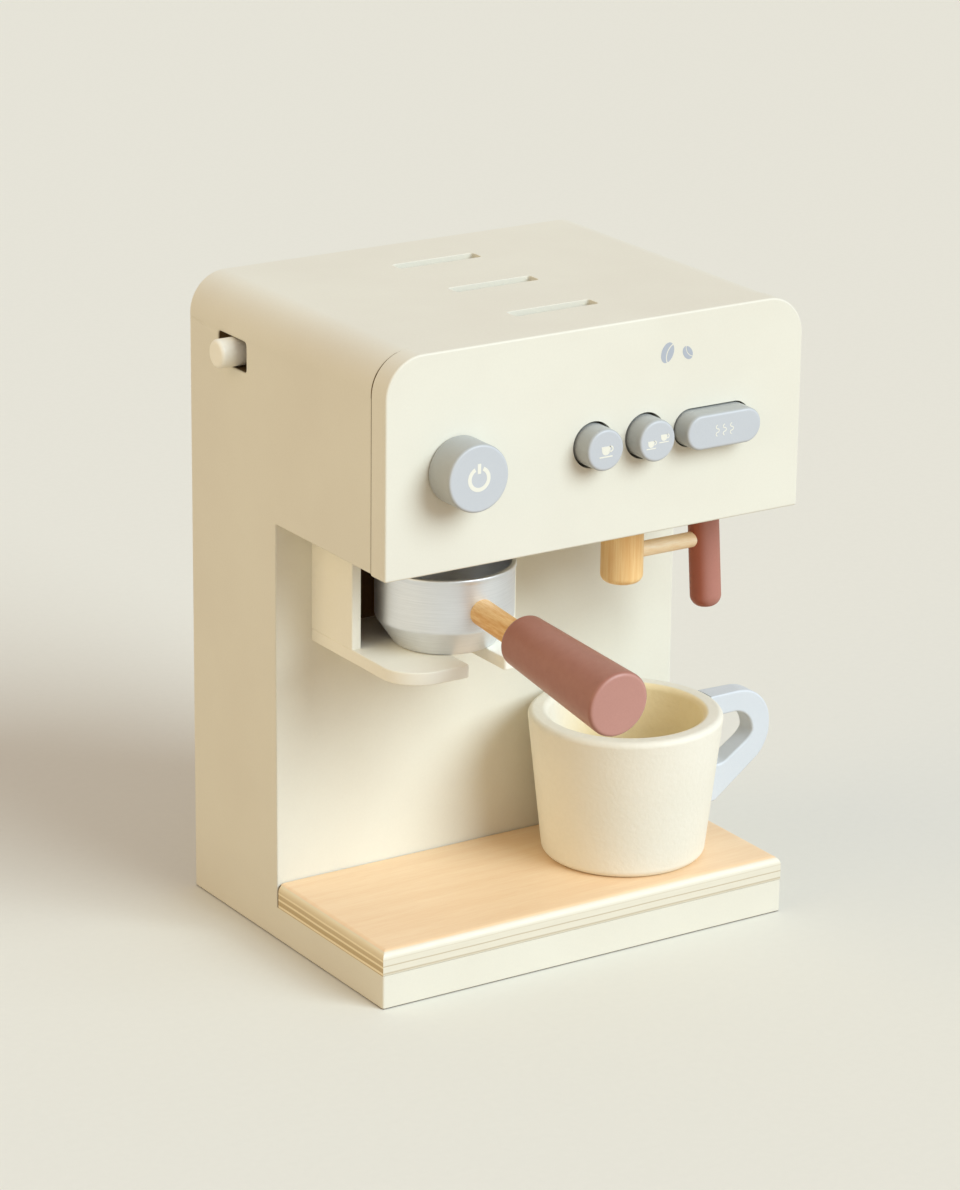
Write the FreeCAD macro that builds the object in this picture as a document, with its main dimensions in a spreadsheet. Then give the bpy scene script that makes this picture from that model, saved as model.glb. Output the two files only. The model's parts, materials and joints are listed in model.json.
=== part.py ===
# Toy coffee maker: a cream wooden espresso machine with a cup, a portafilter and a steam wand.
# Millimetres. The origin is the middle of the underside, +Z is up, and the front looks along -Y.
# Left and right are as seen from the front, so the left side is at -X.

import FreeCAD, Part
import Sketcher
import math
import os

os.makedirs("parts", exist_ok=True)
doc = FreeCAD.newDocument("ToyCoffeeMaker")
sheet = doc.addObject("Spreadsheet::Sheet", "Sizes")


class Size:
    """A length that knows its value and the expression that a feature is bound to."""

    def __init__(self, value, text):
        self.value = float(value)
        self.text = text

    def _with(self, other, sign, value, first):
        other_text = other.text if isinstance(other, Size) else repr(other)
        pair = (self.text, other_text) if first else (other_text, self.text)
        return Size(value, "(%s %s %s)" % (pair[0], sign, pair[1]))

    def __add__(self, other):
        return self._with(other, "+", self.value + number(other), True)

    def __radd__(self, other):
        return self._with(other, "+", number(other) + self.value, False)

    def __sub__(self, other):
        return self._with(other, "-", self.value - number(other), True)

    def __rsub__(self, other):
        return self._with(other, "-", number(other) - self.value, False)

    def __mul__(self, other):
        return self._with(other, "*", self.value * number(other), True)

    def __rmul__(self, other):
        return self._with(other, "*", number(other) * self.value, False)

    def __truediv__(self, other):
        return self._with(other, "/", self.value / number(other), True)

    def __neg__(self):
        return Size(-self.value, "(0 - %s)" % self.text)


def number(length):
    """The plain number of a Size, or of a number."""
    return length.value if isinstance(length, Size) else float(length)


def text_of(length):
    """The expression of a Size, or of a number."""
    return length.text if isinstance(length, Size) else repr(float(length))


def size(alias, value):
    """One driving dimension: a cell of the sheet with its alias."""
    size.row += 1
    sheet.set("A%d" % size.row, alias)
    sheet.set("B%d" % size.row, repr(value))
    sheet.setAlias("B%d" % size.row, alias)
    return Size(value, "Sizes.%s" % alias)


size.row = 0

# Carcass: boards glued and painted
width = size("width", 180.0)
depth = size("depth", 140.0)
height = size("height", 246.5)
side_thickness = size("side_thickness", 9.0)
top_thickness = size("top_thickness", 16.0)
top_radius = size("top_radius", 15.0)
back_thickness = size("back_thickness", 6.0)
base_thickness = size("base_thickness", 13.3)
column_depth = size("column_depth", 63.3)
column_thickness = size("column_thickness", 9.0)
housing_height = size("housing_height", 81.2)
floor_thickness = size("floor_thickness", 9.0)
edge_ease = size("edge_ease", 0.7)
batten_side = size("batten_side", 12.0)
screw_inset = size("screw_inset", 14.0)

# Tray of layered plywood
tray_thickness = size("tray_thickness", 9.5)
tray_gap = size("tray_gap", 0.5)
tray_round = size("tray_round", 3.4)
tray_corner = size("tray_corner", 1.2)

# Fascia
fascia_thickness = size("fascia_thickness", 10.0)
fascia_proud = size("fascia_proud", 0.9)
fascia_overhang = size("fascia_overhang", 0.5)
fascia_drop = size("fascia_drop", 0.3)
shadow_gap = size("shadow_gap", 0.5)
shadow_depth = size("shadow_depth", 1.6)
fascia_ease = size("fascia_ease", 0.8)
fascia_pin_radius = size("fascia_pin_radius", 2.5)
fascia_pin_length = size("fascia_pin_length", 18.0)
fascia_pin_inset = size("fascia_pin_inset", 14.0)

# Top slots, one behind the other
slot_length = size("slot_length", 36.0)
slot_width = size("slot_width", 6.7)
slot_pitch = size("slot_pitch", 39.6)
slot_corner = size("slot_corner", 1.2)

# Knob and buttons, all on one level
control_drop = size("control_drop", 43.7)
knob_inset = size("knob_inset", 29.7)
knob_radius = size("knob_radius", 12.6)
knob_proud = size("knob_proud", 14.0)
knob_round = size("knob_round", 1.1)
spindle_radius = size("spindle_radius", 4.0)
running_gap = size("running_gap", 0.05)
face_gap = size("face_gap", 0.3)
washer_radius = size("washer_radius", 9.0)
washer_thickness = size("washer_thickness", 2.5)
screw_head_radius = size("screw_head_radius", 3.4)
screw_head_height = size("screw_head_height", 2.0)
screw_radius = size("screw_radius", 1.5)
screw_length = size("screw_length", 12.0)
button_radius = size("button_radius", 7.9)
button_hole_gap = size("button_hole_gap", 0.9)
button_proud = size("button_proud", 8.2)
button_length = size("button_length", 16.0)
button_round = size("button_round", 1.2)
single_inset = size("single_inset", 92.3)
double_inset = size("double_inset", 69.6)
long_inset = size("long_inset", 39.8)
long_radius = size("long_radius", 6.7)
long_straight = size("long_straight", 19.8)
long_hole_gap = size("long_hole_gap", 0.6)
stem_radius = size("stem_radius", 3.0)
stem_socket = size("stem_socket", 6.0)
stop_radius = size("stop_radius", 6.0)
stop_thickness = size("stop_thickness", 3.0)
guide_thickness = size("guide_thickness", 6.0)
guide_setback = size("guide_setback", 10.4)
guide_height = size("guide_height", 26.0)
spacer_gap = size("spacer_gap", 2.0)
spacer_width = size("spacer_width", 8.0)
spring_radius = size("spring_radius", 4.3)
spring_wire = size("spring_wire", 0.8)

# Side peg and its slider
peg_drop = size("peg_drop", 22.7)
peg_inset = size("peg_inset", 31.7)
peg_radius = size("peg_radius", 5.5)
peg_proud = size("peg_proud", 7.0)
peg_round = size("peg_round", 1.6)
side_slot_length = size("side_slot_length", 20.7)
side_slot_gap = size("side_slot_gap", 0.3)
side_slot_corner = size("side_slot_corner", 1.5)
slider_thickness = size("slider_thickness", 9.0)
slider_length = size("slider_length", 18.0)
slider_below = size("slider_below", 8.0)
rail_thickness = size("rail_thickness", 4.0)
rail_lip = size("rail_lip", 6.0)
rail_length = size("rail_length", 44.0)

# Portafilter bracket
bracket_inset = size("bracket_inset", 51.5)
bracket_width = size("bracket_width", 72.0)
cheek_thickness = size("cheek_thickness", 4.0)
cheek_depth = size("cheek_depth", 28.7)
plate_drop = size("plate_drop", 42.8)
plate_thickness = size("plate_thickness", 5.0)
plate_reach = size("plate_reach", 64.7)
plate_corner = size("plate_corner", 15.0)
notch_width = size("notch_width", 15.0)
notch_depth = size("notch_depth", 34.0)
notch_round = size("notch_round", 6.0)
tine_round = size("tine_round", 1.5)
plate_ease = size("plate_ease", 0.5)
bracket_pin_radius = size("bracket_pin_radius", 1.5)
bracket_pin_length = size("bracket_pin_length", 14.0)
bracket_pin_inset = size("bracket_pin_inset", 10.0)
bracket_pin_depth = size("bracket_pin_depth", 6.0)

# Portafilter
bowl_setback = size("bowl_setback", 35.2)
bowl_radius = size("bowl_radius", 26.0)
bowl_foot_radius = size("bowl_foot_radius", 19.0)
bowl_cone_height = size("bowl_cone_height", 10.4)
bowl_height = size("bowl_height", 31.2)
bowl_wall = size("bowl_wall", 1.5)
bowl_slant = size("bowl_slant", 0.6)
bowl_bend_round = size("bowl_bend_round", 3.0)
lip_proud = size("lip_proud", 0.5)
lip_height = size("lip_height", 2.0)
handle_droop = size("handle_droop", 5.3)
shaft_radius = size("shaft_radius", 5.0)
shaft_level = size("shaft_level", 20.2)
shaft_screw_seat = size("shaft_screw_seat", 0.5)
handle_start = size("handle_start", 52.6)
handle_length = size("handle_length", 62.3)
handle_small_radius = size("handle_small_radius", 9.9)
handle_large_radius = size("handle_large_radius", 12.4)
handle_round = size("handle_round", 1.8)
handle_socket = size("handle_socket", 36.0)

# Steam wand
hub_inset = size("hub_inset", 55.7)
hub_setback = size("hub_setback", 44.7)
hub_radius = size("hub_radius", 8.1)
hub_length = size("hub_length", 29.7)
hub_round = size("hub_round", 3.0)
hub_spindle_radius = size("hub_spindle_radius", 3.0)
hub_washer_radius = size("hub_washer_radius", 8.0)
wand_reach = size("wand_reach", 37.7)
wand_peg_radius = size("wand_peg_radius", 3.0)
wand_peg_drop = size("wand_peg_drop", 19.0)
wand_peg_socket = size("wand_peg_socket", 5.0)
wand_radius = size("wand_radius", 6.0)
wand_above = size("wand_above", 16.0)
wand_below = size("wand_below", 27.0)
wand_foot_round = size("wand_foot_round", 5.0)
wand_top_round = size("wand_top_round", 1.5)
wand_lean = size("wand_lean", 5.3)

# Cup
cup_inset = size("cup_inset", 47.8)
cup_gap = size("cup_gap", 0.5)
cup_height = size("cup_height", 57.4)
cup_rim_radius = size("cup_rim_radius", 37.7)
cup_foot_radius = size("cup_foot_radius", 31.3)
cup_wall = size("cup_wall", 7.9)
cup_floor = size("cup_floor", 9.0)
cup_rim_round = size("cup_rim_round", 2.6)
cup_foot_round = size("cup_foot_round", 3.0)
ear_thickness = size("ear_thickness", 9.0)
ear_band = size("ear_band", 7.8)
ear_top = size("ear_top", 56.8)
ear_reach = size("ear_reach", 65.6)
ear_top_round = size("ear_top_round", 15.0)
ear_bend_level = size("ear_bend_level", 32.0)
ear_bend_round = size("ear_bend_round", 14.5)
ear_heel_reach = size("ear_heel_reach", 40.3)
ear_heel_level = size("ear_heel_level", 13.0)
ear_heel_round = size("ear_heel_round", 2.5)
ear_gap_level = size("ear_gap_level", 27.0)
ear_gap_reach = size("ear_gap_reach", 43.0)
ear_gap_bend_level = size("ear_gap_bend_level", 37.0)
ear_gap_round = size("ear_gap_round", 7.0)
ear_gap_top_round = size("ear_gap_top_round", 8.0)
ear_round = size("ear_round", 0.9)
ear_pin_radius = size("ear_pin_radius", 2.0)
ear_pin_length = size("ear_pin_length", 13.0)
ear_pin_reach_top = size("ear_pin_reach_top", 31.8)
ear_pin_reach_low = size("ear_pin_reach_low", 27.6)

# Places that several pieces share
front = -depth / 2
back = depth / 2
inner_half = width / 2 - side_thickness
column_front = depth / 2 - column_depth
fascia_front = front - fascia_proud
shell_front = fascia_front + fascia_thickness + shadow_gap
side_top = height - top_thickness
overhang_level = height - housing_height
control_level = height - control_drop
plate_level = overhang_level - plate_drop
peg_level = height - peg_drop
tray_top = base_thickness + tray_thickness
floor_top = overhang_level + floor_thickness
inner_back = back - back_thickness
guide_front = shell_front + guide_setback
peg_place = back - peg_inset
knob_x = knob_inset - width / 2
single_place = width / 2 - single_inset
double_place = width / 2 - double_inset
long_place = width / 2 - long_inset
bracket_x = bracket_inset - width / 2
hub_x = width / 2 - hub_inset
hub_y = column_front - hub_setback
cup_x = width / 2 - cup_inset
cup_y = column_front - cup_gap - cup_rim_radius
spindle_bore = spindle_radius + running_gap
stem_bore = stem_radius + running_gap


def bind(obj, **lengths):
    """Bind properties of an object to expressions of the sheet."""
    for name, length in lengths.items():
        setattr(obj, name, number(length))
        if isinstance(length, Size):
            obj.setExpression(name, length.text)


def place(obj, x=0.0, y=0.0, z=0.0, axis=(0, 0, 1), angle=0.0):
    """Put an object at a point, turned about an axis, with both bound to the sheet."""
    turn = FreeCAD.Rotation(FreeCAD.Vector(*axis), number(angle))
    obj.Placement = FreeCAD.Placement(FreeCAD.Vector(number(x), number(y), number(z)), turn)
    for letter, length in (("x", x), ("y", y), ("z", z)):
        if isinstance(length, Size):
            obj.setExpression("Placement.Base." + letter, length.text)
    if isinstance(angle, Size):
        obj.setExpression("Placement.Rotation.Angle", angle.text)
    return obj


def box(name, low, high):
    """A board between two corners."""
    obj = doc.addObject("Part::Box", name)
    bind(obj, Length=high[0] - low[0], Width=high[1] - low[1], Height=high[2] - low[2])
    return place(obj, *low)


def rod(name, radius, length, start, along="z"):
    """A round rod from a start point along +x, +y or +z."""
    obj = doc.addObject("Part::Cylinder", name)
    bind(obj, Radius=radius, Height=length)
    turn = {"x": ((0, 1, 0), 90.0), "y": ((1, 0, 0), -90.0), "z": ((0, 0, 1), 0.0)}[along]
    return place(obj, *start, axis=turn[0], angle=turn[1])


def fused(name, pieces):
    """Several solids in one object."""
    obj = doc.addObject("Part::MultiFuse", name)
    obj.Shapes = pieces
    return obj


def cut(name, base, *tools):
    """A base with one or more tools cut out of it."""
    for index, tool in enumerate(tools):
        obj = doc.addObject("Part::Cut", name if index == len(tools) - 1 else name + "_cut%d" % index)
        obj.Base = base
        obj.Tool = tool
        base = obj
    return base


def new_body(name):
    return doc.addObject("PartDesign::Body", name)


def plane_of(body, role):
    return [feature for feature in body.Origin.OriginFeatures if feature.Role == role][0]


def outline(body, name, role, points, offset=None):
    """A closed sketch through points (u, v) or (u, v, radius) on an origin plane of its body.

    A third number rounds that corner with a tangent arc, and a fourth one with that many steps.
    Every corner is tied to the sheet by its two distances from the sketch's origin.
    """
    sketch = body.newObject("Sketcher::SketchObject", name)
    sketch.AttachmentSupport = [(plane_of(body, role), "")]
    sketch.MapMode = "FlatFace"
    if offset is not None:
        sketch.AttachmentOffset.Base = FreeCAD.Vector(0, 0, number(offset))
        sketch.setExpression("AttachmentOffset.Base.z", text_of(offset))
    points = stepped(points)
    corners = [FreeCAD.Vector(number(point[0]), number(point[1]), 0) for point in points]
    count = len(points)
    ends = []
    for index, point in enumerate(points):
        corner = corners[index]
        if len(point) < 3:
            ends.append((corner, corner, None))
            continue
        before = (corners[index - 1] - corner).normalize()
        after = (corners[(index + 1) % count] - corner).normalize()
        half = math.acos(max(-1.0, min(1.0, before.dot(after)))) / 2
        run = number(point[2]) / math.tan(half)
        start = corner + before * run
        stop = corner + after * run
        ends.append((start, stop, (half, before, after)))
    lines = []
    for index in range(count):
        start = ends[index][1]
        stop = ends[(index + 1) % count][0]
        lines.append(sketch.addGeometry(Part.LineSegment(start, stop), False))
    for index, point in enumerate(points):
        arriving = lines[index - 1]
        leaving = lines[index]
        if len(point) < 3:
            sketch.addConstraint(Sketcher.Constraint("Coincident", arriving, 2, leaving, 1))
            tie(sketch, leaving, 1, point)
            continue
        start, stop, (half, before, after) = ends[index]
        middle = (before + after).normalize() * (number(point[2]) / math.sin(half))
        centre = corners[index] + middle
        inner = centre - (before + after).normalize() * number(point[2])
        turns_left = before.cross(after).z < 0
        low, high = (start, stop) if turns_left else (stop, start)
        arc = sketch.addGeometry(Part.Arc(low, inner, high), False)
        first, last = (1, 2) if turns_left else (2, 1)
        sketch.addConstraint(Sketcher.Constraint("Tangent", arriving, 2, arc, first))
        sketch.addConstraint(Sketcher.Constraint("Tangent", leaving, 1, arc, last))
        radius = sketch.addConstraint(Sketcher.Constraint("Radius", arc, number(point[2])))
        sketch.setExpression("Constraints[%d]" % radius, text_of(point[2]))
        corner_point = sketch.addGeometry(Part.Point(corners[index]), True)
        tie(sketch, corner_point, 1, point)
        sketch.addConstraint(Sketcher.Constraint("PointOnObject", corner_point, 1, arriving))
        sketch.addConstraint(Sketcher.Constraint("PointOnObject", corner_point, 1, leaving))
    return sketch


def stepped(points):
    """Turn every corner (u, v, radius, steps) into short straight steps that follow its round."""
    corners = [FreeCAD.Vector(number(point[0]), number(point[1]), 0) for point in points]
    result = []
    for index, point in enumerate(points):
        if len(point) < 4:
            result.append(point)
            continue
        u, v, radius, steps = point
        before = (corners[index - 1] - corners[index]).normalize()
        after = (corners[(index + 1) % len(points)] - corners[index]).normalize()
        half = math.acos(max(-1.0, min(1.0, before.dot(after)))) / 2
        centre = (before + after).normalize() * (1 / math.sin(half))
        first = before * (1 / math.tan(half)) - centre
        sweep = math.pi - 2 * half
        if before.cross(after).z > 0:
            sweep = -sweep
        for step in range(int(steps) + 1):
            angle = sweep * step / int(steps)
            along_u = centre.x + first.x * math.cos(angle) - first.y * math.sin(angle)
            along_v = centre.y + first.x * math.sin(angle) + first.y * math.cos(angle)
            result.append((u + radius * round(along_u, 6), v + radius * round(along_v, 6)))
    return result


def tie(sketch, geometry, end, point):
    """Tie a sketch point to its two distances from the origin."""
    for kind, length in (("DistanceX", point[0]), ("DistanceY", point[1])):
        if isinstance(length, Size) or abs(length) > 1e-9:
            index = sketch.addConstraint(Sketcher.Constraint(kind, -1, 1, geometry, end, number(length)))
            if isinstance(length, Size):
                sketch.setExpression("Constraints[%d]" % index, length.text)
        else:
            axis = -2 if kind == "DistanceX" else -1
            sketch.addConstraint(Sketcher.Constraint("PointOnObject", geometry, end, axis))


def circle_sketch(body, name, role, centre, radius, offset=None):
    """A sketch with one circle."""
    sketch = body.newObject("Sketcher::SketchObject", name)
    sketch.AttachmentSupport = [(plane_of(body, role), "")]
    sketch.MapMode = "FlatFace"
    if offset is not None:
        sketch.AttachmentOffset.Base = FreeCAD.Vector(0, 0, number(offset))
        sketch.setExpression("AttachmentOffset.Base.z", text_of(offset))
    middle = FreeCAD.Vector(number(centre[0]), number(centre[1]), 0)
    ring = sketch.addGeometry(Part.Circle(middle, FreeCAD.Vector(0, 0, 1), number(radius)), False)
    tie(sketch, ring, 3, centre)
    index = sketch.addConstraint(Sketcher.Constraint("Radius", ring, number(radius)))
    sketch.setExpression("Constraints[%d]" % index, text_of(radius))
    return sketch


def obround_sketch(body, name, role, centre, half_straight, radius, offset):
    """A sketch of a slot with round ends, lying along its first axis."""
    sketch = body.newObject("Sketcher::SketchObject", name)
    sketch.AttachmentSupport = [(plane_of(body, role), "")]
    sketch.MapMode = "FlatFace"
    sketch.AttachmentOffset.Base = FreeCAD.Vector(0, 0, number(offset))
    sketch.setExpression("AttachmentOffset.Base.z", text_of(offset))
    left, right = centre[0] - half_straight, centre[0] + half_straight
    level, reach = number(centre[1]), number(radius)
    up, arcs = FreeCAD.Vector(0, 0, 1), []
    for end, first in ((right, -0.5), (left, 0.5)):
        circle = Part.Circle(FreeCAD.Vector(number(end), level, 0), up, reach)
        arc = Part.ArcOfCircle(circle, first * math.pi, (first + 1.0) * math.pi)
        arcs.append(sketch.addGeometry(arc, False))
        tie(sketch, arcs[-1], 3, (end, centre[1]))
    for start, stop, low in ((left, right, True), (right, left, False)):
        side = level - reach if low else level + reach
        line = sketch.addGeometry(Part.LineSegment(FreeCAD.Vector(number(start), side, 0),
                                                   FreeCAD.Vector(number(stop), side, 0)), False)
        here, there = (arcs[1], arcs[0]) if low else (arcs[0], arcs[1])
        sketch.addConstraint(Sketcher.Constraint("Tangent", here, 2, line, 1))
        sketch.addConstraint(Sketcher.Constraint("Tangent", line, 2, there, 1))
    index = sketch.addConstraint(Sketcher.Constraint("Radius", arcs[0], reach))
    sketch.setExpression("Constraints[%d]" % index, text_of(radius))
    return sketch


def pad(body, name, sketch, length):
    """A pad of a sketch along its normal."""
    feature = body.newObject("PartDesign::Pad", name)
    feature.Profile = sketch
    bind(feature, Length=length)
    sketch.Visibility = False
    doc.recompute()
    return feature


def pocket(body, name, sketch, length):
    """A pocket that must take material away, whichever way its sketch looks."""
    doc.recompute()
    before = body.Shape.Volume
    feature = body.newObject("PartDesign::Pocket", name)
    feature.Profile = sketch
    bind(feature, Length=length)
    doc.recompute()
    if abs(body.Shape.Volume - before) < 1e-6:
        feature.Reversed = True
        doc.recompute()
    if body.Shape.Volume > before - 1e-6:
        raise RuntimeError("the pocket %s cuts nothing" % name)
    return feature


def turned(body, name, sketch, axis="V_Axis"):
    """A full turn of a sketch about one of its axes."""
    feature = body.newObject("PartDesign::Revolution", name)
    feature.Profile = sketch
    feature.ReferenceAxis = (sketch, [axis])
    feature.Angle = 360.0
    doc.recompute()
    return feature


def eased(body, name, radius, wanted):
    """Round the edges of a body that the test accepts."""
    doc.recompute()
    base = body.Tip
    names = []
    for index, edge in enumerate(base.Shape.Edges):
        if wanted(edge):
            names.append("Edge%d" % (index + 1))
    if not names:
        raise RuntimeError("no edge to round for %s" % name)
    feature = body.newObject("PartDesign::Fillet", name)
    feature.Base = (base, names)
    bind(feature, Radius=radius)
    doc.recompute()
    return feature


def bevelled(body, name, leg, wanted):
    """Break the edges of a body that the test accepts with a small flat."""
    doc.recompute()
    base = body.Tip
    names = ["Edge%d" % (index + 1) for index, edge in enumerate(base.Shape.Edges) if wanted(edge)]
    if not names:
        raise RuntimeError("no edge to break for %s" % name)
    feature = body.newObject("PartDesign::Chamfer", name)
    feature.Base = (base, names)
    bind(feature, Size=leg)
    doc.recompute()
    return feature


def all_at(edge, axis, level):
    """True where the whole edge lies at one level along an axis (0, 1 or 2)."""
    box_ = edge.BoundBox
    low = (box_.XMin, box_.YMin, box_.ZMin)[axis]
    high = (box_.XMax, box_.YMax, box_.ZMax)[axis]
    return abs(low - number(level)) < 1e-4 and abs(high - number(level)) < 1e-4


parts = []


def part(node, obj):
    """Name an object as one finished piece, whose label is its file name."""
    obj.Label = node
    parts.append((node, obj))
    return obj


# Side boards: the C-shaped left board, and the right one as its mirror
fascia_pin_levels = (overhang_level + fascia_pin_inset, side_top - fascia_pin_inset)
fascia_pin_start = shell_front - fascia_pin_length / 3


def fascia_pins_at(name, x):
    """The two dowels that hold one end of the fascia on the edge of a side board."""
    pins = []
    for index, level in enumerate(fascia_pin_levels):
        pins.append(rod("%s_%d" % (name, index), fascia_pin_radius, fascia_pin_length,
                        (x, fascia_pin_start, level), "y"))
    return pins


left_pins = fascia_pins_at("left_pin", -(width - side_thickness) / 2)
right_pins = fascia_pins_at("right_pin", (width - side_thickness) / 2)

side_outline = [
    (front, 0.0),
    (back, 0.0),
    (back, side_top),
    (shell_front, side_top),
    (shell_front, overhang_level),
    (column_front, overhang_level),
    (column_front, base_thickness),
    (front, base_thickness),
]
side_slot_half = side_slot_length / 2
side_slot_height = peg_radius + side_slot_gap


def side_board(name, inner_face, outer_face, outer_level, with_slot):
    """One side board, with eased edges on its outer face."""
    body = new_body(name + "_body")
    pad(body, name + "_pad", outline(body, name + "_outline", "YZ_Plane", side_outline, inner_face),
        side_thickness)
    if with_slot:
        slot = [
            (peg_place - side_slot_half, peg_level - side_slot_height, side_slot_corner),
            (peg_place + side_slot_half, peg_level - side_slot_height, side_slot_corner),
            (peg_place + side_slot_half, peg_level + side_slot_height, side_slot_corner),
            (peg_place - side_slot_half, peg_level + side_slot_height, side_slot_corner),
        ]
        pocket(body, name + "_slot", outline(body, name + "_slot_outline", "YZ_Plane", slot, outer_face),
               side_thickness * 2)
    bevelled(body, name + "_ease", edge_ease,
             lambda edge: all_at(edge, 0, outer_level) and not all_at(edge, 2, side_top)
             and not all_at(edge, 2, base_thickness))
    return body


side_left_blank = side_board("side_left", -width / 2, -width / 2, -width / 2, True)
side_right_blank = side_board("side_right", inner_half, inner_half, width / 2, False)
part("side_board_left", cut("side_left_cut", side_left_blank, *left_pins))
part("side_board_right", cut("side_right_cut", side_right_blank, *right_pins))

# Top board with its two large rounded edges and three slots
top_body = new_body("top_body")
top_outline = [
    (-width / 2, side_top),
    (width / 2, side_top),
    (width / 2, height, top_radius),
    (-width / 2, height, top_radius),
]
pad(top_body, "top_pad", outline(top_body, "top_outline", "XZ_Plane", top_outline, -back),
    back - shell_front)
for index in range(3):
    slot_middle = (index - 1) * slot_pitch
    slot = [
        (-slot_length / 2, slot_middle - slot_width / 2, slot_corner),
        (slot_length / 2, slot_middle - slot_width / 2, slot_corner),
        (slot_length / 2, slot_middle + slot_width / 2, slot_corner),
        (-slot_length / 2, slot_middle + slot_width / 2, slot_corner),
    ]
    pocket(top_body, "top_slot_%d" % index,
           outline(top_body, "top_slot_outline_%d" % index, "XY_Plane", slot, height), top_thickness * 2)
bevelled(top_body, "top_ease", edge_ease,
         lambda edge: all_at(edge, 1, back) and edge.BoundBox.ZMax > side_top.value + 0.01)
part("top_board", top_body)

# Base, column, housing floor, back and corner battens
part("base_board", box("base", (-inner_half, front, 0.0), (inner_half, back, base_thickness)))
column_low = (-inner_half, column_front, base_thickness)
column_high = (inner_half, column_front + column_thickness, overhang_level)
column_blank = box("column_blank", column_low, column_high)

floor_board = box("floor_blank", (-inner_half, shell_front, overhang_level),
                  (inner_half, inner_back, floor_top))
hub_bore = rod("hub_bore", hub_spindle_radius + running_gap, floor_thickness * 2,
               (hub_x, hub_y, overhang_level - floor_thickness / 2))

screw_columns = [-(inner_half - batten_side / 2), inner_half - batten_side / 2]
screw_levels = [base_thickness + screw_inset, overhang_level - screw_inset]


def back_screw(name, x, z):
    """A screw whose head lies level with the back board."""
    head = rod(name + "_head", screw_head_radius, screw_head_height, (x, back - screw_head_height, z), "y")
    shank = rod(name + "_shank", screw_radius, screw_length, (x, back - screw_length, z), "y")
    return fused(name, [head, shank])


back_screws = []
for column, x in enumerate(screw_columns):
    for level, z in enumerate(screw_levels):
        back_screws.append(back_screw("back_screw_%d_%d" % (column, level), x, z))
back_blank = box("back_blank", (-inner_half, inner_back, base_thickness), (inner_half, back, side_top))
screws = doc.addObject("Part::Compound", "back_screw_group")
screws.Links = back_screws
part("back_board", cut("back_board_cut", back_blank, *back_screws))
part("back_screws", screws)
battens = []
for index, low_x in enumerate((-inner_half, inner_half - batten_side)):
    batten = box("batten_blank_%d" % index, (low_x, inner_back - batten_side, base_thickness),
                 (low_x + batten_side, inner_back, overhang_level))
    battens.append(cut("batten_%d" % index, batten, *back_screws[2 * index:2 * index + 2]))
batten_group = doc.addObject("Part::Compound", "batten_group")
batten_group.Links = battens
part("corner_battens", batten_group)
part("housing_floor", cut("housing_floor_cut", floor_board, hub_bore))

# Tray of layered plywood, rounded over along its top edges
tray_body = new_body("tray_body")
tray_outline = [
    (-width / 2, front, tray_corner),
    (width / 2, front, tray_corner),
    (width / 2, column_front - tray_gap),
    (-width / 2, column_front - tray_gap),
]
pad(tray_body, "tray_pad", outline(tray_body, "tray_outline", "XY_Plane", tray_outline, base_thickness),
    tray_thickness)
eased(tray_body, "tray_over", tray_round,
      lambda edge: all_at(edge, 2, tray_top) and not all_at(edge, 1, column_front - tray_gap))
part("tray_board", tray_body)

# Fascia: the front panel, with a fine groove round its back edge
fascia_body = new_body("fascia_body")
fascia_half = width / 2 + fascia_overhang
fascia_low = overhang_level - fascia_drop
fascia_high = height + fascia_overhang
fascia_radius = top_radius + fascia_overhang


def fascia_shape(inset):
    """The fascia's outline, drawn in by an inset."""
    return [
        (-(fascia_half - inset), fascia_low + inset),
        (fascia_half - inset, fascia_low + inset),
        (fascia_half - inset, fascia_high - inset, fascia_radius - inset),
        (-(fascia_half - inset), fascia_high - inset, fascia_radius - inset),
    ]


pad(fascia_body, "fascia_land",
    outline(fascia_body, "fascia_land_outline", "XZ_Plane", fascia_shape(shadow_depth), -shell_front),
    shadow_gap)
pad(fascia_body, "fascia_board",
    outline(fascia_body, "fascia_outline", "XZ_Plane", fascia_shape(0.0),
            -(fascia_front + fascia_thickness)), fascia_thickness)
bevelled(fascia_body, "fascia_edge", fascia_ease, lambda edge: all_at(edge, 1, fascia_front))
hole_depth = fascia_thickness * 2


def fascia_hole(name, points, radius):
    """A round hole through the fascia."""
    pocket(fascia_body, name, circle_sketch(fascia_body, name + "_ring", "XZ_Plane", points, radius,
                                            -fascia_front), hole_depth)


fascia_hole("knob_hole", (knob_x, control_level), spindle_bore)
fascia_hole("single_hole", (single_place, control_level), button_radius + button_hole_gap)
fascia_hole("double_hole", (double_place, control_level), button_radius + button_hole_gap)
pocket(fascia_body, "long_hole",
       obround_sketch(fascia_body, "long_hole_outline", "XZ_Plane", (long_place, control_level),
                      long_straight / 2, long_radius + long_hole_gap, -fascia_front), hole_depth)
part("fascia_board", cut("fascia_cut", fascia_body, *left_pins, *right_pins))
pin_group = doc.addObject("Part::Compound", "fascia_pin_group")
pin_group.Links = left_pins + right_pins
part("fascia_pins", pin_group)

# Knob on its spindle, held by a washer and a screw behind the fascia
knob_front = fascia_front - knob_proud
knob_back = fascia_front - face_gap
knob_body = new_body("knob_body")
pad(knob_body, "knob_pad",
    circle_sketch(knob_body, "knob_ring", "XZ_Plane", (knob_x, control_level), knob_radius, -knob_back),
    knob_back - knob_front)
bevelled(knob_body, "knob_edge", knob_round, lambda edge: all_at(edge, 1, knob_front))
spindle_start = knob_back - knob_proud / 2
washer_front = shell_front + face_gap
spindle = rod("knob_spindle_rod", spindle_radius, washer_front - spindle_start,
              (knob_x, spindle_start, control_level), "y")
part("knob", cut("knob_cut", knob_body, spindle))


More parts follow.
